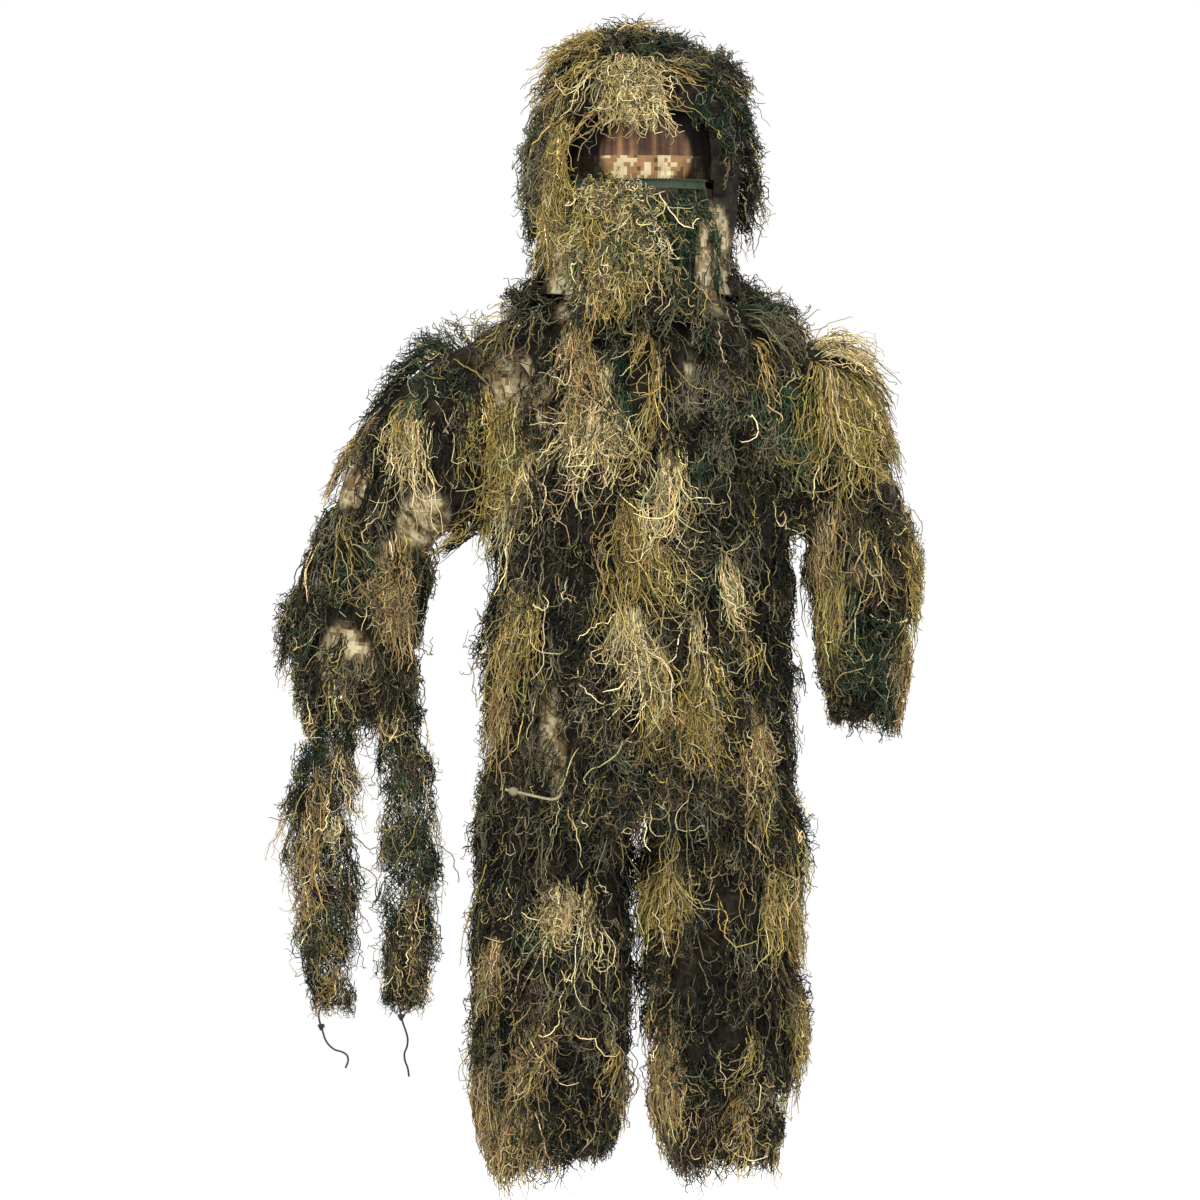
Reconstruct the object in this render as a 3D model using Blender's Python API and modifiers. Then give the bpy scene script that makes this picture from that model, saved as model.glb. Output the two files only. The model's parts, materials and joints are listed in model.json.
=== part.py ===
"""Four-piece ghillie suit on a standing body form: jacket with hood, face veil, trousers, rifle wrap.

Metres, +Z up. The wearer faces -Y, with the left hand at +X. The origin is the centre of the
neck base, where the form's shoulders carry the jacket.
"""

import math

import bmesh
import bpy
from mathutils import Vector

# Driving dimensions
CLOTH = 0.004            # garment cloth with its backing
YARN = 0.022             # depth of the sewn-on yarn layer
HOOD_YARN = 0.030
VEIL_YARN = 0.028
WRAP_YARN = 0.014
YARN_LIFT = 0.003        # the yarn's stitched roots stand this far off the cloth
CASING = 0.006           # folded cloth of the collar and the hem casing
CUFF_ELASTIC = 0.005     # gathered elastic at the wrists and ankles
FLAT_ELASTIC = 0.002     # the strip inside the waist casing
GAP = 0.0005             # clearance between pieces that lie on each other
SEAM = math.radians(0.3)  # half the clearance between panels sewn side by side
JOINT_GAP = 0.003        # clearance where two bodies meet at a crease
TINY = 0.00001           # heights closer than this are the same height

CHEST_HALF = 0.215       # half the jacket's width
JACKET_HEM = -0.755
HEM_BAND = 0.026         # height of the hem casing
ARMHOLE_X = 0.256        # plane where a sleeve meets the jacket's yarn
ARMHOLE_TOP = -0.085
ARMHOLE_BOTTOM = -0.355
ARMHOLE_EASE = 0.012     # the armhole is this much smaller than the sleeve, top and bottom
ARMHOLE_DEPTH = 0.080    # half the armhole, front to back
ARMHOLE_CUT = 0.14       # the cutting bar's length, through one side of the jacket
CUFF_BAND = 0.022        # height of the gathered wrist
CUFF_TUCK = 0.008        # the wrist is gathered in by this much
CUFF_TAPER = 0.004

HOOD_BASE = 0.030
HOOD_TOP = 0.372
HOOD_HALF = 0.155
HOOD_DEPTH = 0.142
FACE_HALF = 0.105        # half the width of the hood's face opening
FACE_TOP = 0.255
FACE_CORNER = 0.060      # rounding of the face opening's upper corners
BAND_TOP = 0.262         # the cloth band behind the face opening
BAND_BOTTOM = 0.148
BAND_CLOTH = 0.002

WAIST = -0.535
WAIST_BAND = 0.040
SEAT_BOTTOM = -0.790
LEG_TOP = -0.800
KNEE = -1.060
ANKLE = -1.305
ANKLE_BAND = 0.025       # height of the gathered ankle
ANKLE_TUCK = 0.010
LEG_FRINGE = 0.055       # the legs' yarn hangs this far past the cloth

CORD_ELASTIC = 0.003     # black elastic cord of the rifle wrap
CORD_HEM = 0.004         # khaki drawcord of the jacket hem
STUD_RADIUS = 0.0075
STUD_HEIGHT = 0.004
STUD_LIFT = 0.0078       # from the jacket front to a stud's middle, over the placket
TOGGLE_RADIUS = 0.0065
TOGGLE_LENGTH = 0.014
KNOT_RADIUS = 0.0045
KNOT_LENGTH = 0.008
BORE_EASE = 0.0005       # a toggle's or knot's bore is this much wider than its cord, each side

COLOURS = {
    "camo_cloth": (0.30, 0.25, 0.15, 0.9),
    "lining": (0.16, 0.12, 0.07, 0.9),
    "yarn": (0.10, 0.10, 0.05, 1.0),
    "yarn_dark": (0.05, 0.055, 0.03, 1.0),
    "elastic": (0.07, 0.09, 0.05, 0.8),
    "cord_black": (0.01, 0.01, 0.012, 0.6),
    "cord_khaki": (0.35, 0.30, 0.17, 0.8),
    "stud": (0.05, 0.05, 0.045, 0.35),
    "toggle": (0.22, 0.19, 0.11, 0.5),
    "net": (0.06, 0.07, 0.04, 0.9),
}


def clear_scene():
    for obj in list(bpy.data.objects):
        bpy.data.objects.remove(obj, do_unlink=True)


def collection(name):
    found = bpy.data.collections.get(name) or bpy.data.collections.new(name)
    if found.name not in bpy.context.scene.collection.children:
        bpy.context.scene.collection.children.link(found)
    return found


def material(piece, finish):
    """Each piece has its own material with the colour and roughness of its finish."""
    red, green, blue, roughness = COLOURS[finish]
    mat = bpy.data.materials.new(piece + "_" + finish)
    mat.use_nodes = True
    shader = mat.node_tree.nodes["Principled BSDF"]
    shader.inputs["Base Color"].default_value = (red, green, blue, 1.0)
    shader.inputs["Roughness"].default_value = roughness
    shader.inputs["Metallic"].default_value = 0.6 if finish == "stud" else 0.0
    return mat


def add(name, data, finish, smooth=True):
    obj = bpy.data.objects.new(name, data)
    obj.data.materials.append(material(name, finish))
    if smooth and isinstance(data, bpy.types.Mesh):
        data.shade_smooth()
    SUIT.objects.link(obj)
    return obj


def hide_cutter(obj):
    CUTTERS.objects.link(obj)
    obj.hide_render = True
    obj.display_type = "WIRE"


# ---------------------------------------------------------------- lofted cloth

class Section:
    """One oval ring across a garment: its two ends in the XZ plane, half depth and centre in Y."""

    def __init__(self, low_end, high_end, half_depth, centre_y=0.0):
        self.low = Vector((low_end[0], centre_y, low_end[1]))
        self.high = Vector((high_end[0], centre_y, high_end[1]))
        self.half_depth = half_depth

    def centre(self):
        return (self.low + self.high) / 2

    def grown(self, amount):
        """The same ring with its outline moved out by amount."""
        out = (self.high - self.low).normalized() * amount
        ring = Section((0, 0), (0, 0), self.half_depth + amount)
        ring.low = self.low - out
        ring.high = self.high + out
        return ring

    def shifted(self, offset):
        ring = Section((0, 0), (0, 0), self.half_depth)
        ring.low = self.low + Vector(offset)
        ring.high = self.high + Vector(offset)
        return ring

    def point(self, angle, squareness=0.85):
        """Angle 0 is the +X end, 90 degrees the back; squareness under 1 fills the corners."""
        across = math.copysign(abs(math.cos(angle)) ** squareness, math.cos(angle))
        deep = math.copysign(abs(math.sin(angle)) ** squareness, math.sin(angle))
        half = (self.high - self.low) / 2
        return self.centre() + half * across + Vector((0, self.half_depth * deep, 0))


def level(half_width, half_depth, z, centre_x=0.0, centre_y=0.0):
    return Section((centre_x - half_width, z), (centre_x + half_width, z), half_depth, centre_y)


def between(first, second, share):
    ring = Section((0, 0), (0, 0), first.half_depth * (1 - share) + second.half_depth * share)
    ring.low = first.low.lerp(second.low, share)
    ring.high = first.high.lerp(second.high, share)
    return ring


def cut_to(rings, top, bottom):
    """The rings between two heights, with new rings at those heights (level rings only)."""
    def at(z):
        for upper, lower in zip(rings, rings[1:]):
            if lower.low.z - TINY <= z <= upper.low.z + TINY:
                share = (upper.low.z - z) / (upper.low.z - lower.low.z)
                return between(upper, lower, share)
        raise ValueError("height outside the garment")
    inside = [ring for ring in rings if bottom + GAP < ring.low.z < top - GAP]
    return [at(top)] + inside + [at(bottom)]


def loft(name, rings, steps, start=0.0, stop=math.tau, capped=False):
    """An open surface through the rings, top to bottom, facing out; a full turn closes on itself."""
    closed = stop - start > math.tau - 1e-6
    count = steps if closed else steps + 1
    mesh = bpy.data.meshes.new(name)
    bm = bmesh.new()
    rows = []
    for ring in rings:
        angles = [start + (stop - start) * i / steps for i in range(count)]
        rows.append([bm.verts.new(ring.point(angle)) for angle in angles])
    for upper, lower in zip(rows, rows[1:]):
        for i in range(steps):
            j = (i + 1) % count
            bm.faces.new((upper[i], lower[i], lower[j], upper[j]))
    if capped:
        bm.faces.new(rows[0])
    bm.to_mesh(mesh)
    bm.free()
    return mesh


def solidify(obj, thickness, outward):
    skin = obj.modifiers.new("thickness", "SOLIDIFY")
    skin.thickness = thickness
    skin.offset = 1.0 if outward else -1.0
    skin.use_even_offset = False


def shell(name, rings, steps, thickness, finish, start=0.0, stop=math.tau, grow=0.0,
          outward=False, capped=False):
    """A cloth or yarn shell: the rings moved out by grow, then thickened inward or outward."""
    grown = [ring.grown(grow) for ring in rings]
    obj = add(name, loft(name, grown, steps, start, stop, capped), finish)
    solidify(obj, thickness, outward)
    return obj


def cloth(name, rings, steps, **options):
    return shell(name, rings, steps, CLOTH, "camo_cloth", **options)


def yarn(name, rings, steps, depth=YARN, finish="yarn", **options):
    return shell(name, rings, steps, depth, finish, grow=YARN_LIFT, outward=True, **options)


def cut(obj, cutter):
    mod = obj.modifiers.new("cut", "BOOLEAN")
    mod.operation = "DIFFERENCE"
    mod.solver = "EXACT"
    mod.object = cutter


def oval_cutter(name, centre, radius_y, radius_z, length):
    """An oval bar along X."""
    mesh = bpy.data.meshes.new(name)
    bm = bmesh.new()
    bmesh.ops.create_cone(bm, cap_ends=True, segments=20, radius1=1, radius2=1, depth=length)
    for v in bm.verts:
        v.co = Vector((v.co.z, v.co.x * radius_y, v.co.y * radius_z))
    bmesh.ops.recalc_face_normals(bm, faces=bm.faces)
    bm.to_mesh(mesh)
    bm.free()
    obj = bpy.data.objects.new(name, mesh)
    obj.location = centre
    hide_cutter(obj)
    return obj


# ---------------------------------------------------------------- cords and small parts

def smooth_route(points, spacing):
    """Points a spacing apart along a Catmull-Rom curve through the given points."""
    pts = [Vector(p) for p in points]
    pts = [2 * pts[0] - pts[1]] + pts + [2 * pts[-1] - pts[-2]]
    route = []
    for a, b, c, d in zip(pts, pts[1:], pts[2:], pts[3:]):
        steps = max(1, round((c - b).length / spacing))
        for i in range(steps):
            t = i / steps
            route.append(0.5 * (2 * b + (c - a) * t + (2 * a - 5 * b + 4 * c - d) * t ** 2
                                + (3 * b - a - 3 * c + d) * t ** 3))
    route.append(pts[-2])
    return route


def tube(name, points, diameter, finish, spacing=None, resolution=2):
    route = smooth_route(points, spacing or 2.5 * diameter)
    curve = bpy.data.curves.new(name, "CURVE")
    curve.dimensions = "3D"
    curve.bevel_depth = diameter / 2
    curve.bevel_resolution = resolution
    curve.use_fill_caps = True
    spline = curve.splines.new("POLY")
    spline.points.add(len(route) - 1)
    for point, place in zip(spline.points, route):
        point.co = (*place, 1.0)
    return add(name, curve, finish)


def bead(name, centre, axis, bore, radius, length, finish):
    """A turned bead with a hole along its axis, such as a toggle or a knot round a cord."""
    outline = []
    for i in range(7):
        angle = math.pi * i / 6
        outline.append((bore + (radius - bore) * math.sin(angle), length / 2 * math.cos(angle)))
    mesh = bpy.data.meshes.new(name)
    bm = bmesh.new()
    verts = [bm.verts.new((r, 0, z)) for r, z in outline]
    for a, b in zip(verts, verts[1:] + verts[:1]):
        bm.edges.new((a, b))
    bm.to_mesh(mesh)
    bm.free()
    obj = add(name, mesh, finish)
    turn = obj.modifiers.new("turn", "SCREW")
    turn.steps = 12
    turn.render_steps = 12
    turn.use_merge_vertices = True
    turn.merge_threshold = 0.00001
    turn.use_normal_calculate = True
    obj.location = centre
    obj.rotation_euler = Vector(axis).to_track_quat("Z", "Y").to_euler()
    return obj


def stud(name, centre):
    """A press stud's cap on the placket, facing forward."""
    mesh = bpy.data.meshes.new(name)
    bm = bmesh.new()
    bmesh.ops.create_cone(bm, cap_ends=True, segments=12, radius1=STUD_RADIUS,
                          radius2=STUD_RADIUS * 0.8, depth=STUD_HEIGHT)
    bm.to_mesh(mesh)
    bm.free()
    obj = add(name, mesh, "stud", smooth=False)
    obj.location = centre
    obj.rotation_euler = (math.radians(90), 0, 0)
    return obj


# ---------------------------------------------------------------- jacket

JACKET = [
    level(0.100, 0.090, 0.000),
    level(0.150, 0.102, -0.028),
    level(0.195, 0.112, -0.052),
    level(0.212, 0.120, -0.082),
    level(CHEST_HALF, 0.130, -0.150),
    level(CHEST_HALF, 0.140, -0.260),
    level(CHEST_HALF, 0.142, -0.380),
    level(0.213, 0.145, -0.600),
    level(0.218, 0.150, JACKET_HEM),
]
COLLAR_TOP = 0.022
STUDS = 5
TOP_STUD = -0.110
STUD_PITCH = 0.145
FRONT = math.radians(270)
HALF_PLACKET = math.radians(8)
PLACKET_TOP = -0.055
PLACKET_BOTTOM = -0.735
YARN_BOTTOM = -0.745     # the jacket's yarn stops above the hem casing
BACK_YARN_TOP = -0.040
CHEST_YARN_TOP = -0.066


def build_jacket():
    turn = math.pi
    cloth("jacket_back", JACKET, 14, start=SEAM, stop=turn - SEAM)
    cloth("jacket_front_right", JACKET, 8, start=turn + SEAM, stop=FRONT - SEAM)
    cloth("jacket_front_left", JACKET, 8, start=FRONT + SEAM, stop=math.tau - SEAM)
    covered = cut_to(JACKET, BACK_YARN_TOP, YARN_BOTTOM)
    chest = cut_to(JACKET, CHEST_YARN_TOP, YARN_BOTTOM)
    edge = 3 * SEAM
    yarn("jacket_yarn_back", covered, 14, start=edge, stop=turn - edge)
    yarn("jacket_yarn_right", chest, 8, start=turn + edge, stop=FRONT - HALF_PLACKET - edge)
    yarn("jacket_yarn_left", chest, 8, start=FRONT + HALF_PLACKET + edge, stop=math.tau - edge)
    middle_z = (ARMHOLE_TOP + ARMHOLE_BOTTOM) / 2
    half_z = (ARMHOLE_TOP - ARMHOLE_BOTTOM) / 2 - ARMHOLE_EASE
    for side, hand in ((1, "left"), (-1, "right")):
        centre = (side * CHEST_HALF, 0, middle_z)
        hole = oval_cutter("armhole_" + hand, centre, ARMHOLE_DEPTH, half_z, ARMHOLE_CUT)
        for panel in ("jacket_back", "jacket_yarn_back", "jacket_front_" + hand, "jacket_yarn_" + hand):
            cut(bpy.data.objects[panel], hole)
    band = cut_to(JACKET, PLACKET_TOP, PLACKET_BOTTOM)
    shell("placket", band, 4, CLOTH, "camo_cloth", start=FRONT - HALF_PLACKET,
          stop=FRONT + HALF_PLACKET, grow=GAP, outward=True)
    for i in range(STUDS):
        z = TOP_STUD - i * STUD_PITCH
        ring = cut_to(JACKET, z, z - 0.01)[0]
        front_y = ring.point(FRONT).y
        stud("press_stud_%d" % (i + 1), (0, front_y - STUD_LIFT, z))
    collar = [level(0.101, 0.091, COLLAR_TOP), level(0.103, 0.093, GAP)]
    shell("collar_band", collar, 20, CASING, "camo_cloth")
    top = JACKET_HEM - GAP
    casing = [level(0.220, 0.152, top), level(0.221, 0.153, top - HEM_BAND)]
    shell("hem_casing", casing, 28, CASING, "camo_cloth")


HEM_ROUTE = [
    (-0.1180, -0.1450, -0.7680),
    (-0.1190, -0.1600, -0.7700),
    (-0.1220, -0.1730, -0.7760),
    (-0.1310, -0.1790, -0.7800),
    (-0.1430, -0.1770, -0.7790),
    (-0.1550, -0.1715, -0.7765),
    (-0.1670, -0.1660, -0.7740),
    (-0.1790, -0.1605, -0.7715),
    (-0.1910, -0.1550, -0.7690),
    (-0.2030, -0.1495, -0.7665),
]
TOGGLE_AT = 8            # the toggle sits on this point of the route


def build_hem_cord():
    tube("hem_cord", HEM_ROUTE, CORD_HEM, "cord_khaki")
    start = Vector(HEM_ROUTE[TOGGLE_AT])
    along = (Vector(HEM_ROUTE[TOGGLE_AT + 1]) - start).normalized()
    bore = CORD_HEM / 2 + BORE_EASE
    bead("hem_toggle", start, along, bore, TOGGLE_RADIUS, TOGGLE_LENGTH, "toggle")


# ---------------------------------------------------------------- sleeves

def arm(side, points):
    """Sections of one sleeve: outer and inner contour points given as distances from the middle."""
    rings = []
    for outer, inner, depth in points:
        ends = [(side * inner[0], inner[1]), (side * outer[0], outer[1])]
        rings.append(Section(*ends[::side], depth))
    return rings


RIGHT_UPPER = arm(-1, [
    ((ARMHOLE_X, ARMHOLE_TOP), (ARMHOLE_X, ARMHOLE_BOTTOM), 0.095),
    ((0.322, -0.112), (0.276, -0.366), 0.095),
    ((0.392, -0.176), (0.306, -0.384), 0.090),
    ((0.444, -0.268), (0.328, -0.404), 0.082),
    ((0.486, -0.392), (0.346, -0.428), 0.076),
])
RIGHT_LOWER = arm(-1, [
    ((0.490, -0.407), (0.3475, -0.4435), 0.076),
    ((0.512, -0.480), (0.360, -0.492), 0.078),
    ((0.516, -0.560), (0.362, -0.562), 0.078),
    ((0.508, -0.606), (0.368, -0.606), 0.074),
])
LEFT_UPPER = arm(1, [
    ((ARMHOLE_X, ARMHOLE_TOP), (ARMHOLE_X, ARMHOLE_BOTTOM), 0.095),
    ((0.305, -0.108), (0.282, -0.364), 0.095),
    ((0.350, -0.180), (0.288, -0.386), 0.088),
    ((0.382, -0.280), (0.288, -0.410), 0.080),
    ((0.396, -0.400), (0.286, -0.434), 0.076),
])
LEFT_LOWER = arm(1, [
    ((0.397, -0.416), (0.2865, -0.4495), 0.076),
    ((0.392, -0.500), (0.292, -0.512), 0.070),
    ((0.384, -0.590), (0.300, -0.594), 0.064),
    ((0.376, -0.644), (0.308, -0.644), 0.058),
])


def build_sleeve(hand, upper, lower):
    cloth("sleeve_upper_" + hand, upper, 16)
    yarn("sleeve_yarn_upper_" + hand, upper, 16)
    cloth("sleeve_lower_" + hand, lower, 16)
    yarn("sleeve_yarn_lower_" + hand, lower, 16)
    wrist = lower[-1]
    top = wrist.grown(-CUFF_TUCK).shifted((0, 0, -GAP))
    bottom = wrist.grown(-CUFF_TUCK - CUFF_TAPER).shifted((0, 0, -GAP - CUFF_BAND))
    shell("cuff_elastic_" + hand, [top, bottom], 16, CUFF_ELASTIC, "elastic")


# ---------------------------------------------------------------- hood and face veil

HOOD = [
    level(0.022, 0.020, HOOD_TOP, centre_y=0.010),
    level(0.075, 0.070, HOOD_TOP - 0.014, centre_y=0.008),
    level(0.118, 0.108, HOOD_TOP - 0.048, centre_y=0.005),
    level(0.145, 0.132, HOOD_TOP - 0.102, centre_y=0.002),
    level(HOOD_HALF, HOOD_DEPTH, 0.190),
    level(0.152, 0.138, 0.110),
    level(0.138, 0.124, HOOD_BASE),
]
VEIL = [
    level(0.120, 0.125, 0.140, centre_y=-0.035),
    level(0.120, 0.132, 0.090, centre_y=-0.035),
    level(0.116, 0.136, 0.030, centre_y=-0.035),
    level(0.108, 0.134, -0.030, centre_y=-0.035),
]
VEIL_HALF_TURN = math.radians(48)
VEIL_SEAM = math.radians(9)  # the veil's yarn stops this far short of its sides
HALF_BAND = math.radians(52)
BAND_EASE = 0.012        # the eye band hangs this far inside the hood
HALF_BRIM = math.radians(17)
BRIM_CLOTH = 0.007


def face_cutter():
    """The face opening: a flat-fronted arch from below the chin to the brim."""
    mesh = bpy.data.meshes.new("face_opening")
    bm = bmesh.new()
    bmesh.ops.create_cube(bm, size=1)
    for v in bm.verts:
        v.co = Vector((v.co.x * 2 * FACE_HALF, v.co.y * 0.22, v.co.z * (FACE_TOP + 0.04)))
    corners = [e for e in bm.edges
               if e.verts[0].co.z > 0 and e.verts[1].co.z > 0
               and abs(e.verts[0].co.y - e.verts[1].co.y) > 0.1]
    bmesh.ops.bevel(bm, geom=corners, offset=FACE_CORNER, segments=5, profile=0.5, affect="EDGES")
    bm.to_mesh(mesh)
    bm.free()
    obj = bpy.data.objects.new("face_opening", mesh)
    obj.location = (0, -0.145, FACE_TOP - (FACE_TOP + 0.04) / 2)
    hide_cutter(obj)
    return obj


def build_hood():
    opening = face_cutter()
    cut(cloth("hood_shell", HOOD, 24, capped=True), opening)
    cut(yarn("hood_yarn", HOOD, 24, depth=HOOD_YARN, capped=True), opening)
    inner = [ring.grown(-CLOTH - BAND_EASE) for ring in cut_to(HOOD, BAND_TOP, BAND_BOTTOM)]
    shell("eye_band", inner, 12, BAND_CLOTH, "lining", start=FRONT - HALF_BAND, stop=FRONT + HALF_BAND)
    brim = [level(0.143, 0.128, FACE_TOP - 0.005), level(0.144, 0.129, FACE_TOP - 0.018)]
    shell("hood_brim", brim, 8, BRIM_CLOTH, "camo_cloth", start=FRONT - HALF_BRIM,
          stop=FRONT + HALF_BRIM)


def build_veil():
    ends = {"start": FRONT - VEIL_HALF_TURN, "stop": FRONT + VEIL_HALF_TURN}
    cloth("veil_panel", VEIL, 12, **ends)
    beard = cut_to(VEIL, 0.128, -0.030) + [level(0.100, 0.134, -0.052, centre_y=-0.035)]
    yarn("veil_yarn", beard, 12, depth=VEIL_YARN, start=ends["start"] + VEIL_SEAM,
         stop=ends["stop"] - VEIL_SEAM)
    edge = VEIL[0].grown(-0.001)
    span = [ends["start"] + (ends["stop"] - ends["start"]) * i / 12 for i in range(13)]
    route = [edge.point(angle) + Vector((0, 0, 0.0055)) for angle in span]
    tube("veil_elastic", route, 0.010, "elastic", spacing=0.012)


# ---------------------------------------------------------------- trousers

def build_trousers():
    band = [level(0.186, 0.118, WAIST), level(0.188, 0.120, WAIST - WAIST_BAND)]
    shell("waist_casing", band, 24, CLOTH, "camo_cloth")
    inside = [ring.grown(-CLOTH - GAP) for ring in cut_to(band, WAIST - 0.004, WAIST - 0.034)]
    shell("waist_elastic", inside, 24, FLAT_ELASTIC, "elastic")
    seat = [
        level(0.190, 0.122, WAIST - WAIST_BAND - GAP),
        level(0.199, 0.130, -0.640),
        level(0.200, 0.132, -0.720),
        level(0.200, 0.132, SEAT_BOTTOM),
    ]
    cloth("trouser_seat", seat, 24)


def leg_rings(side, stations):
    rings = []
    for outer, inner, depth, z in stations:
        ends = sorted((side * outer, side * inner))
        rings.append(Section((ends[0], z), (ends[1], z), depth))
    return rings


RIGHT_LEG = leg_rings(-1, [
    (0.232, 0.030, 0.104, LEG_TOP),
    (0.236, 0.030, 0.106, -0.920),
    (0.238, 0.031, 0.104, KNEE),
    (0.238, 0.032, 0.102, -1.160),
    (0.226, 0.048, 0.094, -1.270),
    (0.222, 0.056, 0.090, ANKLE),
])
LEFT_LEG = leg_rings(1, [
    (0.222, 0.030, 0.104, LEG_TOP),
    (0.220, 0.030, 0.106, -0.920),
    (0.216, 0.031, 0.104, KNEE),
    (0.214, 0.034, 0.102, -1.160),
    (0.208, 0.048, 0.094, -1.270),
    (0.204, 0.056, 0.090, ANKLE),
])


def build_leg(hand, rings):
    upper = cut_to(rings, LEG_TOP, KNEE)
    lower = cut_to(rings, KNEE - JOINT_GAP, ANKLE)
    cloth("leg_upper_" + hand, upper, 18)
    yarn("leg_yarn_upper_" + hand, upper, 18, finish="yarn_dark")
    cloth("leg_lower_" + hand, lower, 18)
    skirt = lower + [lower[-1].grown(0.002).shifted((0, 0, -LEG_FRINGE))]
    yarn("leg_yarn_lower_" + hand, skirt, 18, finish="yarn_dark")
    top = lower[-1].grown(-ANKLE_TUCK).shifted((0, 0, -GAP))
    bottom = lower[-1].grown(-ANKLE_TUCK - CUFF_TAPER).shifted((0, 0, -GAP - ANKLE_BAND))
    shell("ankle_elastic_" + hand, [top, bottom], 18, CUFF_ELASTIC, "elastic")


# ---------------------------------------------------------------- rifle wrap

YOKE_X = -0.424          # middle of the band that ties the wrap to the right cuff
LOBE_TOP = -0.676        # the lobes hang from the yoke by this height
OUTER_LOBE = [
    level(0.022, 0.006, LOBE_TOP, centre_x=-0.468),
    level(0.042, 0.006, -0.720, centre_x=-0.486),
    level(0.044, 0.006, -0.850, centre_x=-0.490),
    level(0.042, 0.006, -0.940, centre_x=-0.482),
    level(0.036, 0.006, -1.030, centre_x=-0.474),
    level(0.022, 0.006, -1.100, centre_x=-0.466),
]
INNER_LOBE = [
    level(0.020, 0.006, LOBE_TOP, centre_x=-0.370),
    level(0.034, 0.006, -0.720, centre_x=-0.360),
    level(0.036, 0.006, -0.850, centre_x=-0.354),
    level(0.036, 0.006, -0.940, centre_x=-0.354),
    level(0.034, 0.006, -1.030, centre_x=-0.356),
    level(0.024, 0.006, -1.085, centre_x=-0.360),
]
OUTER_CORD = [
    (-0.4880, -0.0100, -1.1040),
    (-0.4910, -0.0115, -1.1140),
    (-0.4900, -0.0120, -1.1240),
    (-0.4870, -0.0120, -1.1340),
    (-0.4840, -0.0120, -1.1440),
    (-0.4810, -0.0125, -1.1530),
    (-0.4750, -0.0130, -1.1620),
    (-0.4660, -0.0130, -1.1690),
    (-0.4560, -0.0130, -1.1720),
    (-0.4480, -0.0125, -1.1770),
    (-0.4460, -0.0120, -1.1860),
    (-0.4500, -0.0120, -1.1970),
]
INNER_CORD = [
    (-0.3700, -0.0100, -1.0900),
    (-0.3690, -0.0115, -1.0990),
    (-0.3670, -0.0120, -1.1090),
    (-0.3650, -0.0120, -1.1190),
    (-0.3620, -0.0125, -1.1290),
    (-0.3580, -0.0130, -1.1400),
    (-0.3550, -0.0130, -1.1520),
    (-0.3560, -0.0130, -1.1640),
    (-0.3600, -0.0125, -1.1750),
    (-0.3590, -0.0120, -1.1860),
    (-0.3550, -0.0120, -1.1970),
    (-0.3530, -0.0120, -1.2100),
]
KNOT_AT = 3              # a knot sits on this point of each elastic cord


def filled_loft(name, rings, steps, finish):
    """A solid strip through the rings, closed at both ends."""
    mesh = loft(name, rings, steps, capped=True)
    bm = bmesh.new()
    bm.from_mesh(mesh)
    bmesh.ops.holes_fill(bm, edges=bm.edges, sides=0)
    bmesh.ops.recalc_face_normals(bm, faces=bm.faces)
    bm.to_mesh(mesh)
    bm.free()
    return add(name, mesh, finish)


def build_lobe(part, rings, route):
    filled_loft("wrap_net_" + part, rings, 12, "net")
    shell("wrap_yarn_" + part, rings, 12, WRAP_YARN, "yarn", grow=GAP, outward=True)
    tube("wrap_cord_" + part, route, CORD_ELASTIC, "cord_black")
    knot = Vector(route[KNOT_AT])
    along = (Vector(route[KNOT_AT + 1]) - Vector(route[KNOT_AT - 1])).normalized()
    bore = CORD_ELASTIC / 2 + BORE_EASE
    bead("wrap_knot_" + part, knot, along, bore, KNOT_RADIUS, KNOT_LENGTH, "cord_black")


def build_wrap():
    yoke = [
        level(0.078, 0.016, -0.634, centre_x=YOKE_X),
        level(0.082, 0.018, -0.644, centre_x=YOKE_X),
        level(0.080, 0.016, -0.656, centre_x=YOKE_X),
    ]
    filled_loft("wrap_yoke", yoke, 16, "net")
    build_lobe("outer", OUTER_LOBE, OUTER_CORD)
    build_lobe("inner", INNER_LOBE, INNER_CORD)


clear_scene()
SUIT = collection("ghillie_suit")
CUTTERS = collection("cutters")
build_jacket()
build_hem_cord()
build_sleeve("right", RIGHT_UPPER, RIGHT_LOWER)
build_sleeve("left", LEFT_UPPER, LEFT_LOWER)
build_hood()
build_veil()
build_trousers()
build_leg("right", RIGHT_LEG)
build_leg("left", LEFT_LEG)
build_wrap()
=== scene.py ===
"""Looks of the ghillie suit: camouflage cloth shells, gathered edges, netting, cords and yarn."""

import json
import math

import bmesh
import bpy
import numpy as np
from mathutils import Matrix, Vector, noise
from mathutils.bvhtree import BVHTree


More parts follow.
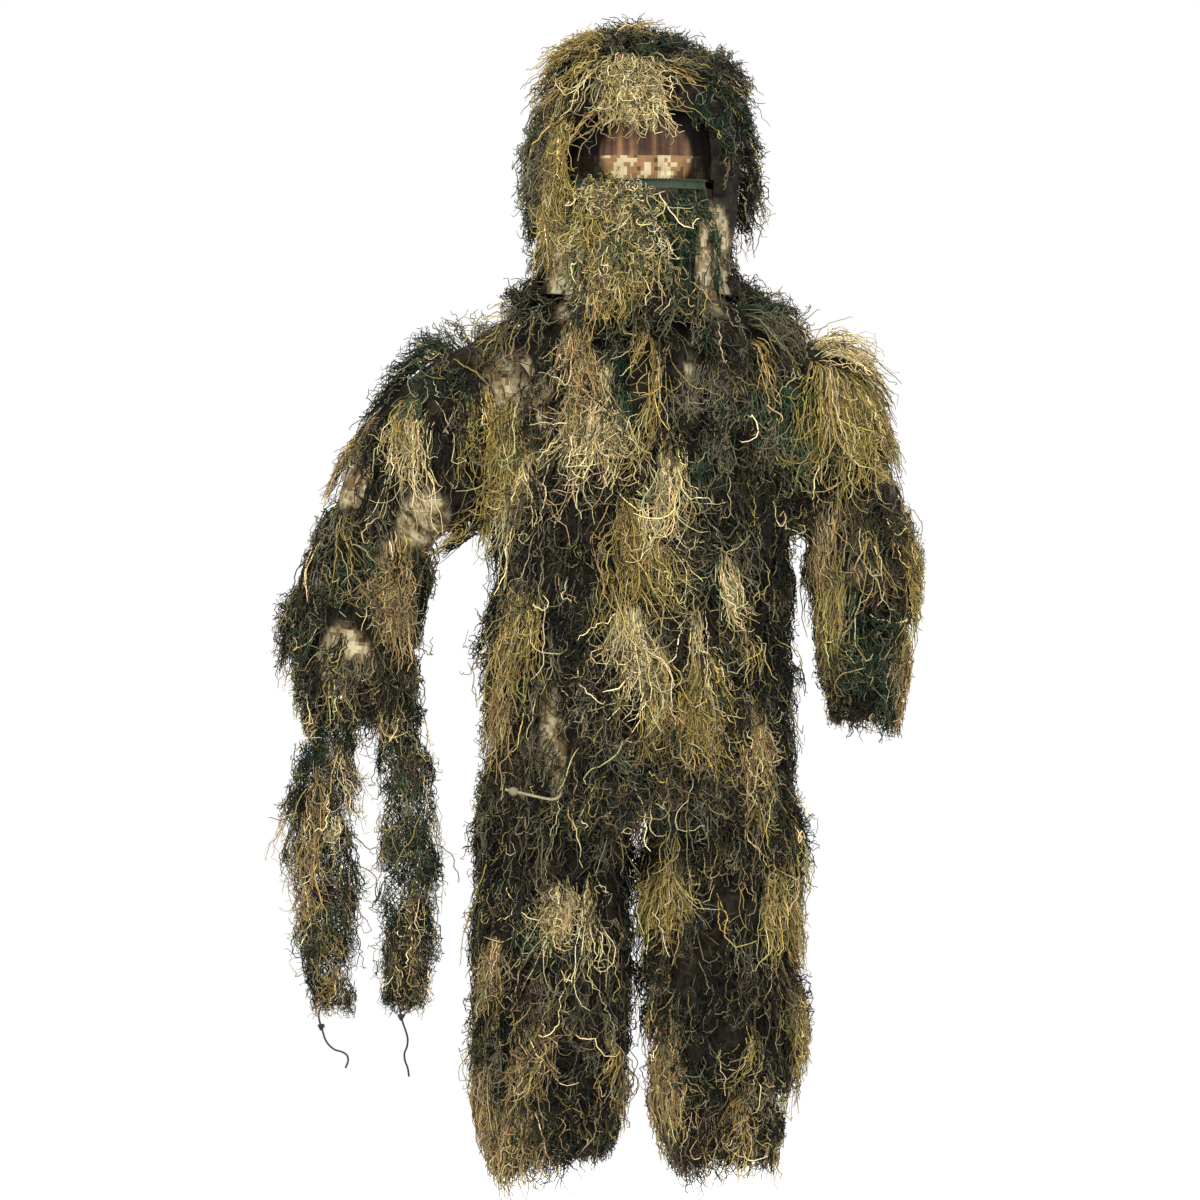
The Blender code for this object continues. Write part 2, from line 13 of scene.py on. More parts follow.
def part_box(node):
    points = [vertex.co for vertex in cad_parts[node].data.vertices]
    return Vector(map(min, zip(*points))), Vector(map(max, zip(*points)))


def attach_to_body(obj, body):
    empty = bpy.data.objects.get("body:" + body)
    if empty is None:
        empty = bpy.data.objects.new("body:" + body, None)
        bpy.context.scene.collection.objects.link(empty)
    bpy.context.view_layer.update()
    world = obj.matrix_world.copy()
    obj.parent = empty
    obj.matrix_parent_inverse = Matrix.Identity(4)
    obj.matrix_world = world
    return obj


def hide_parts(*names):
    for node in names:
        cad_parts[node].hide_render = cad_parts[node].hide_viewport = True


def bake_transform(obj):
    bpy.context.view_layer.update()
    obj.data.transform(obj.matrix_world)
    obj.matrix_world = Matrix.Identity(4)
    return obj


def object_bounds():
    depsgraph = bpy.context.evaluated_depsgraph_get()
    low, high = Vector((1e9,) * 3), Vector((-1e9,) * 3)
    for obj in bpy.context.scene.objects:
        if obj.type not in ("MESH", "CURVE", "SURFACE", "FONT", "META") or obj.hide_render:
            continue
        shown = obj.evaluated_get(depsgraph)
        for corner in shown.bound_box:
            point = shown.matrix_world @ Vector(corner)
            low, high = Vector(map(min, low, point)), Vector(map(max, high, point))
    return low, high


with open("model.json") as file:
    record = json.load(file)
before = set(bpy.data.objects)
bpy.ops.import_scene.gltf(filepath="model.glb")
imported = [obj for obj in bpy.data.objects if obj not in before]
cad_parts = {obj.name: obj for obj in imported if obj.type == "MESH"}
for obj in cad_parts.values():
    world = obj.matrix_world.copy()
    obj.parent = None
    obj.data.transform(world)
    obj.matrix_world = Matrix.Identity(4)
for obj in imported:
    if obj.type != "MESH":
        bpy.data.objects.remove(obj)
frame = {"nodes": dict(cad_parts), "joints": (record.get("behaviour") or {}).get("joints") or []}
CAD_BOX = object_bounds()
NODES = frame["nodes"]
JOINTS = {joint["name"]: joint for joint in frame["joints"]}

CLOTH = 0.004            # thickness of the frame's cloth solids
VIEW_WIDTH = 1.836       # what the camera takes in at the suit
VIEW_CENTRE = (-0.0612, -0.482)
VIEW_DISTANCE = 8.0
SENSOR = 36.0
FLOOR_DROP = 0.3        # the trousers slide 0.25 down without meeting the floor
CHEST = Vector((0, 0, -0.4))
CREASE_REACH = 0.075     # cloth turns this far to each side of a crease
RAY_REACH = 0.4          # farther than any cloth lies from its tube's centre line
ARMHOLE_X = 0.155
VEIL_MIDDLE = (0, -0.035)
ELBOW_ROW = 0.33         # share of a sleeve above the elbow
THIGH_ROW = 0.25         # share of a leg that follows the seat
TAPER = (-1.18, -1.35)   # heights between which the legs are drawn in
ANKLE_DRAW = 0.15
SHEET_THICKNESS = 0.0012
TOP_UNSHADED_SHARE = 0.55          # painted shade on the trousers' top: this share of the way from full shade to the bare print
HANDS = ("right", "left")
CLOTH_SETTINGS = {"quality": 5, "mass": 0.12, "tension_stiffness": 12, "compression_stiffness": 12,
                  "shear_stiffness": 6, "bending_stiffness": 0.4, "vertex_group_mass": "pins",
                  "shrink_min": -0.05}
CLOTH_FRAMES = 16
BUCKLE_CAP = 0.008       # the simulated cloth moves this far at most

# Colours of yarn and cloth, linear
BLACK_OLIVE = (0.01, 0.009, 0.005)
DARK_OLIVE = (0.036, 0.032, 0.015)
GREY_OLIVE = (0.135, 0.124, 0.072)
FOREST = (0.015, 0.034, 0.0155)
GREEN = (0.038, 0.072, 0.032)
MUSTARD = (0.33, 0.245, 0.068)
STRAW = (0.65, 0.535, 0.27)
TAN = (0.35, 0.24, 0.108)
BROWN = (0.07, 0.042, 0.02)
PRINT = [(0.045, 0.032, 0.018), (0.17, 0.11, 0.05), (0.33, 0.26, 0.14), (0.5, 0.42, 0.26),
         (0.19, 0.18, 0.085)]
BAND_PRINT = [(0.11, 0.06, 0.034), (0.3, 0.17, 0.075), (0.58, 0.47, 0.27), (0.74, 0.65, 0.43)]
BAND_STRIPES = [(0.34, (0.045, 0.026, 0.018)), (0.52, (0.125, 0.07, 0.045)),
                (0.7, (0.36, 0.19, 0.085))]
PRINT_LINE = 0.074       # the eye band is printed below this distance along it
# Shares of each colour among tufts and strands
BACKGROUND = [(BLACK_OLIVE, 0.42), (DARK_OLIVE, 0.28), (GREY_OLIVE, 0.12), (FOREST, 0.08),
              (GREEN, 0.03), (MUSTARD, 0.03), (BROWN, 0.04)]
AROUND = [(BLACK_OLIVE, 0.34), (DARK_OLIVE, 0.24), (GREY_OLIVE, 0.12), (FOREST, 0.07),
          (GREEN, 0.05), (MUSTARD, 0.12), (STRAW, 0.07), (TAN, 0.07)]
NETTING = [(BLACK_OLIVE, 0.34), (DARK_OLIVE, 0.27), (FOREST, 0.15), (GREY_OLIVE, 0.13), (TAN, 0.06),
           (GREEN, 0.05)]
DARK_STRAYS = [(GREY_OLIVE, 0.8), (TAN, 0.06), (STRAW, 0.03), (MUSTARD, 0.11)]
LOCK_STRAYS = [(STRAW, 0.28), (MUSTARD, 0.28), (GREY_OLIVE, 0.16), (DARK_OLIVE, 0.18), (TAN, 0.1)]
PALE_STRAYS = [(STRAW, 0.26), (TAN, 0.28), (MUSTARD, 0.16), (GREY_OLIVE, 0.3)]


def metres(rows):
    """Rows of millimetres as metres; a colour in a row stays as it is."""
    return [tuple(v if isinstance(v, tuple) else v / 1000 for v in row) for row in rows]


def level_end(height):
    """A lowest height of yarn that is the same at every x."""
    return (-1, 1), (height, height)


# ---------------------------------------------------------------- camera, light, floor

def area_light(name, place, size, power):
    """A soft light that faces the suit's chest."""
    data = bpy.data.lights.new(name, "AREA")
    data.shape = "RECTANGLE"
    data.size, data.size_y = size
    data.energy = power
    light = placed(name, data)
    light.location = place
    light.rotation_euler = (CHEST - light.location).to_track_quat("-Z", "Y").to_euler()


def build_studio():
    bpy.context.scene.view_settings.view_transform = "Standard"
    camera_data = bpy.data.cameras.new("camera")
    camera_data.sensor_width = SENSOR
    camera_data.lens = SENSOR * VIEW_DISTANCE / VIEW_WIDTH
    camera = placed("camera", camera_data)
    camera.location = (VIEW_CENTRE[0], -VIEW_DISTANCE, VIEW_CENTRE[1])
    camera.rotation_euler = (math.radians(90), 0, 0)
    bpy.context.scene.camera = camera
    area_light("key", (-1.6, -4.2, 2.2), (2.4, 2.4), 190)
    area_light("fill", (3.2, -3.4, 0.6), (2.6, 3.0), 80)
    area_light("back", (1.2, 3.6, 2.4), (2.4, 2.4), 120)
    world = bpy.data.worlds.new("studio")
    world.use_nodes = True
    background = world.node_tree.nodes["Background"]
    background.inputs["Color"].default_value = (1, 1, 1, 1)
    background.inputs["Strength"].default_value = 1.0
    bpy.context.scene.world = world
    bpy.ops.mesh.primitive_circle_add(vertices=96, radius=3.0, fill_type="NGON",
                                      location=(0, 0, CAD_BOX[0][2] - FLOOR_DROP))
    floor = bpy.context.object
    floor.name = "floor"
    floor.data.materials.append(plain_material("floor_paper", (0.9, 0.9, 0.9), 0.9))


# ---------------------------------------------------------------- materials

def set_inputs(node, **values):
    """Sets a node's sockets; an underscore stands for a space in a socket's name."""
    for name, value in values.items():
        node.inputs[name.replace("_", " ")].default_value = value
    return node


def new_material(name, **looks):
    """A material with the given shader sockets set: itself, its nodes, its linker, its shader."""
    mat = bpy.data.materials.new(name)
    mat.use_nodes = True
    shader = set_inputs(mat.node_tree.nodes["Principled BSDF"], **looks)
    return mat, mat.node_tree.nodes, mat.node_tree.links.new, shader


def texture(nodes, scale, detail=2.0, **values):
    return set_inputs(nodes.new("ShaderNodeTexNoise"), Scale=scale, Detail=detail, **values)


def colour_ramp(nodes, link, factor, stops):
    """A ramp through (position, colour) stops."""
    ramp = nodes.new("ShaderNodeValToRGB")
    elements = ramp.color_ramp.elements
    for i, (position, colour) in enumerate(stops):
        element = elements[i] if i < 2 else elements.new(position)
        element.position = position
        element.color = (*colour, 1)
    link(factor, ramp.inputs["Fac"])
    return ramp


def scaled(nodes, link, colour, value, low, high, start=0.3, end=0.7):
    """The colour times a value that is stretched from start..end to low..high."""
    stretch = set_inputs(nodes.new("ShaderNodeMapRange"), From_Min=start, From_Max=end,
                         To_Min=low, To_Max=high)
    link(value, stretch.inputs["Value"])
    product = nodes.new("ShaderNodeVectorMath")
    product.operation = "SCALE"
    link(colour, product.inputs[0])
    link(stretch.outputs["Result"], product.inputs["Scale"])
    return product.outputs["Vector"]


def raised(nodes, link, shader, height, strength, distance):
    """Bumps the shader's surface by the height."""
    bump = set_inputs(nodes.new("ShaderNodeBump"), Strength=strength, Distance=distance)
    link(height, bump.inputs["Height"])
    link(bump.outputs["Normal"], shader.inputs["Normal"])


def attribute(nodes, name):
    found = nodes.new("ShaderNodeAttribute")
    found.attribute_name = name
    return found


def cloth_uv(nodes):
    uv = nodes.new("ShaderNodeUVMap")
    uv.uv_map = "cloth"
    return uv.outputs["UV"]


def plain_material(name, colour, roughness):
    mat, nodes, link, shader = new_material(name, Roughness=roughness)
    ramp = colour_ramp(nodes, link, texture(nodes, 3.0).outputs["Fac"],
                       [(0, [c * 0.97 for c in colour]), (1, colour)])
    link(ramp.outputs["Color"], shader.inputs["Base Color"])
    return mat


def yarn_material():
    """Spun synthetic yarn: each strand's own colour, mottled along it, with a soft sheen."""
    mat, nodes, link, shader = new_material("yarn", Roughness=0.82, Specular_IOR_Level=0.15,
                                            Sheen_Weight=0.03)
    fibre = texture(nodes, 220.0).outputs["Fac"]
    own = attribute(nodes, "strand_colour").outputs["Color"]
    link(scaled(nodes, link, own, fibre, 0.55, 1.25), shader.inputs["Base Color"])
    raised(nodes, link, shader, fibre, 0.5, 0.0006)
    return mat


def camo_material(name, colours, pixel=0.0055, shade=1.0, least=0.05):
    """Digital camouflage on a plain weave: square patches of colour, in painted shade under the
    yarn.
    """
    mat, nodes, link, shader = new_material(name, Roughness=0.92, Specular_IOR_Level=0.15,
                                            Sheen_Weight=0.02)
    uv = cloth_uv(nodes)
    snap = nodes.new("ShaderNodeVectorMath")
    snap.operation = "SNAP"
    snap.inputs[1].default_value = (pixel, pixel, pixel)
    link(uv, snap.inputs[0])
    patches = texture(nodes, 32.0, 3.5, Roughness=0.62)
    link(snap.outputs["Vector"], patches.inputs["Vector"])
    cuts = [0, *np.linspace(0.4, 0.62, len(colours) - 1)]
    tones = [[c * shade for c in colour] for colour in colours]
    ramp = colour_ramp(nodes, link, patches.outputs["Fac"], zip(cuts, tones))
    ramp.color_ramp.interpolation = "CONSTANT"
    ramp.name = "print"
    soiled = scaled(nodes, link, ramp.outputs["Color"], texture(nodes, 9.0, 4.0).outputs["Fac"],
                    0.68, 1.12)
    # painted shade: where the cloth is not bare, the print falls to least of its brightness
    bare = attribute(nodes, "bare").outputs["Fac"]
    link(scaled(nodes, link, soiled, bare, least, 1, 0, 1), shader.inputs["Base Color"])
    weave = set_inputs(nodes.new("ShaderNodeTexVoronoi"), Scale=900.0)
    link(uv, weave.inputs["Vector"])
    raised(nodes, link, shader, weave.outputs["Distance"], 0.35, 0.0005)
    return mat


def band_material(name):
    """Brown cloth with soft rust and dark stripes, a digital print below a straight line, and
    painted shadow.
    """
    # painted shadow: least 0.04 leaves the band almost black outside its bare patch, at the face
    # opening's left and top
    mat = camo_material(name, BAND_PRINT, pixel=0.0065, least=0.04)
    nodes, link = mat.node_tree.nodes, mat.node_tree.links.new
    printed = nodes["print"].outputs["Color"]
    after = printed.links[0].to_socket
    uv = cloth_uv(nodes)
    split = nodes.new("ShaderNodeSeparateXYZ")
    link(uv, split.inputs["Vector"])
    above = nodes.new("ShaderNodeMath")
    above.operation = "LESS_THAN"
    above.inputs[1].default_value = PRINT_LINE
    link(split.outputs["Y"], above.inputs[0])
    stretch = set_inputs(nodes.new("ShaderNodeMapping"), Scale=(1.0, 0.06, 1.0))
    link(uv, stretch.inputs["Vector"])
    stripes = texture(nodes, 60.0, 3.0)
    link(stretch.outputs["Vector"], stripes.inputs["Vector"])
    ramp = colour_ramp(nodes, link, stripes.outputs["Fac"], BAND_STRIPES)
    mix = nodes.new("ShaderNodeMix")
    mix.data_type = "RGBA"
    link(above.outputs["Value"], mix.inputs["Factor"])
    link(printed, mix.inputs[6])
    link(ramp.outputs["Color"], mix.inputs[7])
    link(mix.outputs[2], after)
    return mat


def ribbed_material(name, colour, roughness, scale=700.0):
    """Braided cord or knitted elastic: two tones in a fine rib."""
    mat, nodes, link, shader = new_material(name, Roughness=roughness)
    rib = texture(nodes, scale).outputs["Fac"]
    ramp = colour_ramp(nodes, link, rib, [(0.35, [c * 0.55 for c in colour]), (0.65, colour)])
    link(ramp.outputs["Color"], shader.inputs["Base Color"])
    raised(nodes, link, shader, rib, 0.6, 0.0004)
    return mat


# ---------------------------------------------------------------- skins read from the frame

def tree_of(*names):
    """A search tree of the CAD nodes' triangles."""
    points, faces = [], []
    for name in names:
        mesh = NODES[name].data
        first = len(points)
        points += [v.co.copy() for v in mesh.vertices]
        faces += [[first + i for i in poly.vertices] for poly in mesh.polygons]
    return BVHTree.FromPolygons(points, faces)


def filled(radii):
    """Distances with the gaps filled in from their neighbours round the ring and along the tube."""
    radii = radii.copy()
    count = radii.shape[1]
    whole = np.isfinite(radii).mean(axis=1) > 0.4
    steps = np.arange(count)
    for row in np.nonzero(whole)[0]:
        known = np.isfinite(radii[row])
        radii[row] = np.interp(steps, steps[known], radii[row][known], period=count)
    good = np.nonzero(whole)[0]
    for row in np.nonzero(~whole)[0]:
        radii[row] = [np.interp(row, good, radii[good, j]) for j in range(count)]
    return radii


def soften(grid, times, around):
    """Averages neighbours round the rings and along the tube."""
    for _ in range(times):
        if around:
            grid = (np.roll(grid, 1, 1) + 2 * grid + np.roll(grid, -1, 1)) / 4
        inner = (grid[:-2] + 2 * grid[1:-1] + grid[2:]) / 4
        grid = np.concatenate([grid[:1], inner, grid[-1:]])
    return grid


class Skin:
    """A tube of cloth as a grid of points: rows along the garment, columns round it."""

    def __init__(self, points, shown=None, closed=True):
        self.points = points
        self.closed = closed
        self.shown = np.ones(points.shape[:2], bool) if shown is None else shown
        if closed:
            across = np.roll(points, -1, 1) - np.roll(points, 1, 1)
        else:
            across = np.gradient(points, axis=1)
        along = np.gradient(points, axis=0)
        normals = np.cross(across, along)
        length = np.linalg.norm(normals, axis=2, keepdims=True)
        self.normals = -normals / np.maximum(length, 1e-12)

    def rows(self, first, last):
        """The part of the tube between two shares of its length."""
        count = len(self.points) - 1
        a, b = round(first * count), round(last * count)
        return Skin(self.points[a:b + 1], self.shown[a:b + 1], self.closed)

    def faces(self):
        rows, columns = self.points.shape[:2]
        last = columns if self.closed else columns - 1
        i, j = np.meshgrid(np.arange(rows - 1), np.arange(last), indexing="ij")
        k = (j + 1) % columns
        quads = np.stack([i * columns + j, (i + 1) * columns + j,
                          (i + 1) * columns + k, i * columns + k], -1).reshape(-1, 4)
        return quads[self.shown.reshape(-1)[quads].all(axis=1)]

    def measures(self):
        """Mean distances round the tube and along it, in metres, at every point."""
        around = np.linalg.norm(np.diff(self.points, axis=1), axis=2).mean(0)
        along = np.linalg.norm(np.diff(self.points, axis=0), axis=2).mean(1)
        u = np.concatenate([[0], np.cumsum(around)])
        v = np.concatenate([[0], np.cumsum(along)])
        return np.meshgrid(u - u.mean(), v)

    def sample(self, count, rng, weight):
        """Random places spread evenly over the cloth: positions and normals."""
        quads = self.faces()
        flat = self.points.reshape(-1, 3)
        outward = self.normals.reshape(-1, 3)
        a, b, c, d = (flat[quads[:, i]] for i in range(4))
        area = np.linalg.norm(np.cross(c - a, d - b), axis=1) / 2
        if weight is not None:
            area = area * weight((a + b + c + d) / 4)
        pick = rng.choice(len(quads), count, p=area / area.sum())
        s, t = rng.random((2, count, 1))
        corners = quads[pick]

        def mix(values):
            top = values[corners[:, 0]] * (1 - s) + values[corners[:, 3]] * s
            low = values[corners[:, 1]] * (1 - s) + values[corners[:, 2]] * s
            return top * (1 - t) + low * t
        return mix(flat), mix(outward)


def cast_skin(names, centres, across, deep, columns, thickness=CLOTH, holes=False, sector=None):
    """Casts rays outward round each station of a tube's centre line onto the CAD nodes."""
    tree = tree_of(*names)
    angles = np.arange(columns) * math.tau / columns
    if sector:
        angles = np.radians(np.linspace(*sector, columns))
    radii = np.full((len(centres), columns), np.nan)
    rays = np.zeros((len(centres), columns, 3))
    for i, (centre, u, v) in enumerate(zip(centres, across, deep)):
        for j, angle in enumerate(angles):
            ray = Vector(u) * math.cos(angle) + Vector(v) * math.sin(angle)
            rays[i, j] = ray
            hit = tree.ray_cast(Vector(centre), ray, RAY_REACH)
            if hit[0] is not None:
                radii[i, j] = hit[3] + thickness
    shown = np.isfinite(radii) if holes else None
    whole = filled(radii)
    points = np.array(centres)[:, None, :] + rays * whole[:, :, None]
    return Skin(soften(points, 2, not sector), shown, not sector)


def level_skin(names, middle, heights, columns, **options):
    """The skin of an upright tube, in level rings round its middle, which is an x and a y."""
    rows = len(heights)
    centres = [(*middle, z) for z in heights]
    return cast_skin(names, centres, [(1, 0, 0)] * rows, [(0, 1, 0)] * rows, columns, **options)


def node_skin(name, rows, columns, top=0.0, bottom=0.0, middle=(0, 0), **options):
    """The level skin of one CAD node; its top and bottom edges are moved by the given heights."""
    low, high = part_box(name)
    heights = np.linspace(high.z + top, low.z + bottom, rows)
    return level_skin([name], middle, heights, columns, **options)


def arm_skin(hand, rows):
    """The sleeve as one tube from the armhole, past the elbow, to the wrist."""
    low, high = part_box("sleeve_upper_" + hand)
    side = -1 if hand == "right" else 1
    armhole_x = high.x - 0.004 if side < 0 else low.x + 0.004
    elbow = Vector(JOINTS["elbow_" + hand]["pos_m"])
    start = Vector((armhole_x, 0, high.z - 0.133))
    middle = Vector((elbow.x, 0, elbow.z))
    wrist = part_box("sleeve_lower_" + hand)[0].z + 0.002
    end = Vector((box_middle("cuff_elastic_" + hand).x, 0, wrist))
    axis = Vector(JOINTS["elbow_" + hand]["axis"])
    elbow_out = Vector((axis.x, 0, axis.z)) * (1 if axis.x * side > 0 else -1)
    outward = [Vector((0, 0, 1)), elbow_out.normalized(), Vector((side, 0, 0))]
    centres, across = [], []
    for t in np.linspace(0, 2, rows):
        if t <= 1:
            bend = Vector((middle.x - side * 0.01, 0, start.z * 0.75 + middle.z * 0.25))
            centre = start * (1 - t) ** 2 + bend * 2 * t * (1 - t) + middle * t ** 2
            out = outward[0].slerp(outward[1], t)
        else:
            centre = middle.lerp(end, t - 1)
            out = outward[1].slerp(outward[2], t - 1)
        centres.append(tuple(centre))
        across.append(tuple(out * side))
    names = ["sleeve_upper_" + hand, "sleeve_lower_" + hand]
    skin = cast_skin(names, centres, across, [(0, 1, 0)] * rows, 64)
    inset = skin.points[:1].copy()
    inset[..., 0] = side * ARMHOLE_X
    return Skin(np.concatenate([inset, (inset + skin.points[:1]) / 2, skin.points]))


# ---------------------------------------------------------------- cloth pieces

def placed(name, data, material=None):
    """An object in the scene with the given mesh or curve."""
    if material:
        data.materials.append(material)
    obj = bpy.data.objects.new(name, data)
    bpy.context.scene.collection.objects.link(obj)
    return obj


def cloth_mesh(name, skin, material=None):
    mesh = bpy.data.meshes.new(name)
    mesh.from_pydata(skin.points.reshape(-1, 3).tolist(), [], skin.faces().tolist())
    mesh.shade_smooth()
    return placed(name, mesh, material)


def wrinkled(skin, seed, depth=0.003, gather=0.0, folds=26, top_gather=0.0):
    """The skin with soft random folds, and regular gathers of the given depth towards its ends."""
    rng = np.random.default_rng(seed)
    rows, columns = skin.points.shape[:2]
    i = np.linspace(0, 1, rows)[:, None]
    angle = np.linspace(0, math.tau, columns, endpoint=not skin.closed)[None, :]
    relief = np.zeros((rows, columns))
    for _ in range(16):
        waves = rng.integers(2, 15)
        slant = rng.uniform(-9, 9)
        relief += np.sin(waves * angle + slant * i + rng.uniform(0, math.tau)) / waves ** 0.6
    relief *= depth / 1.6
    pleats = np.sin(folds * angle + 1.5 * np.sin(3 * angle))
    relief += pleats * (gather * i ** 6 + top_gather * (1 - i) ** 6)
    return Skin(skin.points + skin.normals * relief[..., None], skin.shown, skin.closed)


def settled(skin):
    """The skin after a cloth simulation: held at both ends and grown, so that it buckles."""
    rows, columns = skin.points.shape[:2]
    obj = cloth_mesh("settling", skin)
    pins = obj.vertex_groups.new(name="pins")
    pins.add([*range(columns), *range((rows - 1) * columns, rows * columns)], 1.0, "REPLACE")
    cloth = obj.modifiers.new("cloth", "CLOTH")
    for setting, value in CLOTH_SETTINGS.items():
        setattr(cloth.settings, setting, value)
    cloth.settings.effector_weights.gravity = 0.3
    cloth.collision_settings.use_collision = False
    scene = bpy.context.scene
    for frame_number in range(1, CLOTH_FRAMES + 1):
        scene.frame_set(frame_number)
    shape = obj.evaluated_get(bpy.context.evaluated_depsgraph_get()).data
    places = np.zeros(rows * columns * 3, np.float32)
    shape.vertices.foreach_get("co", places)
    scene.frame_set(1)
    bpy.data.objects.remove(obj)
    move = places.reshape(rows, columns, 3) - skin.points
    far = np.linalg.norm(move, axis=2, keepdims=True)
    move *= np.minimum(1, BUCKLE_CAP / np.maximum(far, 1e-9))
    return Skin(skin.points + move, skin.shown, skin.closed)


def cloth_piece(name, skin, material, zone, replaced, bare=0.0):
    """A sheet of cloth over the skin; its cut is a rectangle of its own area."""
    obj = cloth_mesh(name, skin, material)
    around, along = skin.measures()
    uv = np.stack([around, along], -1).reshape(-1, 2)
    layer = obj.data.uv_layers.new(name="cloth")
    corners = np.zeros(len(obj.data.loops), np.int32)
    obj.data.loops.foreach_get("vertex_index", corners)
    layer.data.foreach_set("uv", uv[corners].astype(np.float32).reshape(-1))
    # the bareness sets the print's painted shade: darkest under the yarn, none where bare
    shown = np.maximum(bareness(skin.points.reshape(-1, 3)), bare)
    layer = obj.data.attributes.new("bare", "FLOAT", "POINT")
    layer.data.foreach_set("value", shown.astype(np.float32))
    mesh = bmesh.new()
    mesh.from_mesh(obj.data)
    loose = [v for v in mesh.verts if not v.link_faces]
    bmesh.ops.delete(mesh, geom=loose, context="VERTS")
    mesh.to_mesh(obj.data)
    mesh.free()
    thick = obj.modifiers.new("thickness", "SOLIDIFY")
    thick.thickness = SHEET_THICKNESS
    thick.offset = -1
    attach(obj, zone, replaced)


def attach(obj, zone, replaced):
    """Puts a piece on its body, or fixes its mesh in place when it lies between two, and hides the
    CAD nodes it stands for.
    """
    if len(zone) == 1:
        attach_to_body(obj, zone[0])
    else:
        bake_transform(obj)
    if replaced:
        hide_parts(*replaced)


# ---------------------------------------------------------------- yarn

STRAND_POINTS = 13
STRAND_SIDES = 3
PIECE_STRANDS = 2600     # the most strands in one piece
STEP_LIMIT = 0.012       # the cloth pushes a strand this far at most from one point to the next
NET_PITCH = 0.01
# Lowest height that yarn reaches, by x
EVEN = level_end(-1.375)
SLEEVE_END = {
    "right": level_end(-0.69),
    "left": ((0.28, 0.3, 0.33, 0.37, 0.4, 0.42), (-0.668, -0.672, -0.7, -0.715, -0.682, -0.668)),
}
RAGGED = metres([
    (-260, -238, -215, -180, -150, -125, -100, -78, -30, 30, 60, 74, 95, 120, 145, 165, 185, 200,
     240),
    (-1352, -1396, -1368, -1412, -1380, -1406, -1366, -1356, -1346, -1346, -1368, -1406, -1412,
     -1380, -1402, -1362, -1388, -1356, -1346),
])
ROOM = [0.03 * (high - low) + 0.008 for low, high in zip(*CAD_BOX)]
ROOM_LOW = np.array(CAD_BOX[0]) - ROOM   # no strand leaves this room round the suit
ROOM_HIGH = np.array(CAD_BOX[1]) + ROOM


def strand_mesh(name, paths, colours, radii):
    """One mesh of thin tubes along the given paths."""
    count, steps = paths.shape[:2]
    tangents = unit(np.gradient(paths, axis=1))
    side = np.random.default_rng(count).normal(size=(count, 1, 3))
    side = unit(side - (side * tangents).sum(2, keepdims=True) * tangents)
    other = np.cross(tangents, side)
    taper = 1 - 0.5 * np.linspace(0, 1, steps) ** 3
    width = radii[:, None, None] * taper[None, :, None]
    turns = np.arange(STRAND_SIDES) * math.tau / STRAND_SIDES
    rings = np.stack([paths + width * (math.cos(a) * side + math.sin(a) * other)
                      for a in turns], 2)
    first = np.arange(count)[:, None, None] * steps * STRAND_SIDES
    ring = np.arange(steps - 1)[None, :, None] * STRAND_SIDES
    turn = np.arange(STRAND_SIDES)[None, None, :]
    a = first + ring + turn
    b = first + ring + (turn + 1) % STRAND_SIDES
    quads = np.stack([a, b, b + STRAND_SIDES, a + STRAND_SIDES], -1).reshape(-1, 4)
    mesh = bpy.data.meshes.new(name)
    mesh.vertices.add(rings.size // 3)
    mesh.vertices.foreach_set("co", rings.astype(np.float32).reshape(-1))
    mesh.loops.add(quads.size)
    mesh.loops.foreach_set("vertex_index", quads.reshape(-1).astype(np.int32))
    mesh.polygons.add(len(quads))
    mesh.polygons.foreach_set("loop_start", np.arange(0, quads.size, 4, dtype=np.int32))
    shade = mesh.attributes.new("strand_colour", "FLOAT_COLOR", "POINT")
    tone = np.ones((count, steps * STRAND_SIDES, 4), np.float32)
    tone[:, :, :3] = colours[:, None, :]
    shade.data.foreach_set("color", tone.reshape(-1))
    layer = mesh.uv_layers.new(name="OFBake")
    layer.data.foreach_set("uv", strand_map(count, steps).astype(np.float32).reshape(-1))
    mesh.update(calc_edges=True)
    mesh.shade_smooth()
    return placed(name, mesh, YARN)


def strand_map(count, steps):
    """A UV map with a cell for each strand, laid out in a square."""
    columns = math.ceil(math.sqrt(count * 2.2))
    lines = math.ceil(count / columns)
    cell = np.arange(count)
    left = (cell % columns)[:, None, None]
    low = (cell // columns)[:, None, None]
    k = np.arange(steps - 1)[None, :, None]
    j = np.arange(STRAND_SIDES)[None, None, :]
    margin = 0.08
    span = 1 - 2 * margin

    def corner(dj, dk):
        u = (left + margin + span * (j + dj) / STRAND_SIDES) / columns
        v = (low + margin + span * (k + dk) / (steps - 1)) / lines
        return np.stack(np.broadcast_arrays(u, v), -1)
    return np.stack([corner(0, 0), corner(1, 0), corner(1, 1), corner(0, 1)], 3)


def yarn_pieces(name, bundles, zone, replaced):
    """Builds bundles of strands as pieces on one zone; the first stands for the CAD nodes."""
    paths, colours, radii = (np.concatenate(part) for part in zip(*bundles))
    pieces = math.ceil(len(paths) / PIECE_STRANDS)
    for i, share in enumerate(np.array_split(np.arange(len(paths)), pieces)):
        obj = strand_mesh(f"{name}_{i + 1}", paths[share], colours[share], radii[share])
        attach(obj, zone, replaced if i == 0 else ())


def unit(vectors):
    return vectors / np.maximum(np.linalg.norm(vectors, axis=-1, keepdims=True), 1e-9)


def turned(vectors, axes, angles):
    """Vectors turned about unit axes."""
    cos, sin = np.cos(angles)[:, None], np.sin(angles)[:, None]
    along = (vectors * axes).sum(1, keepdims=True)
    return vectors * cos + np.cross(axes, vectors) * sin + axes * along * (1 - cos)


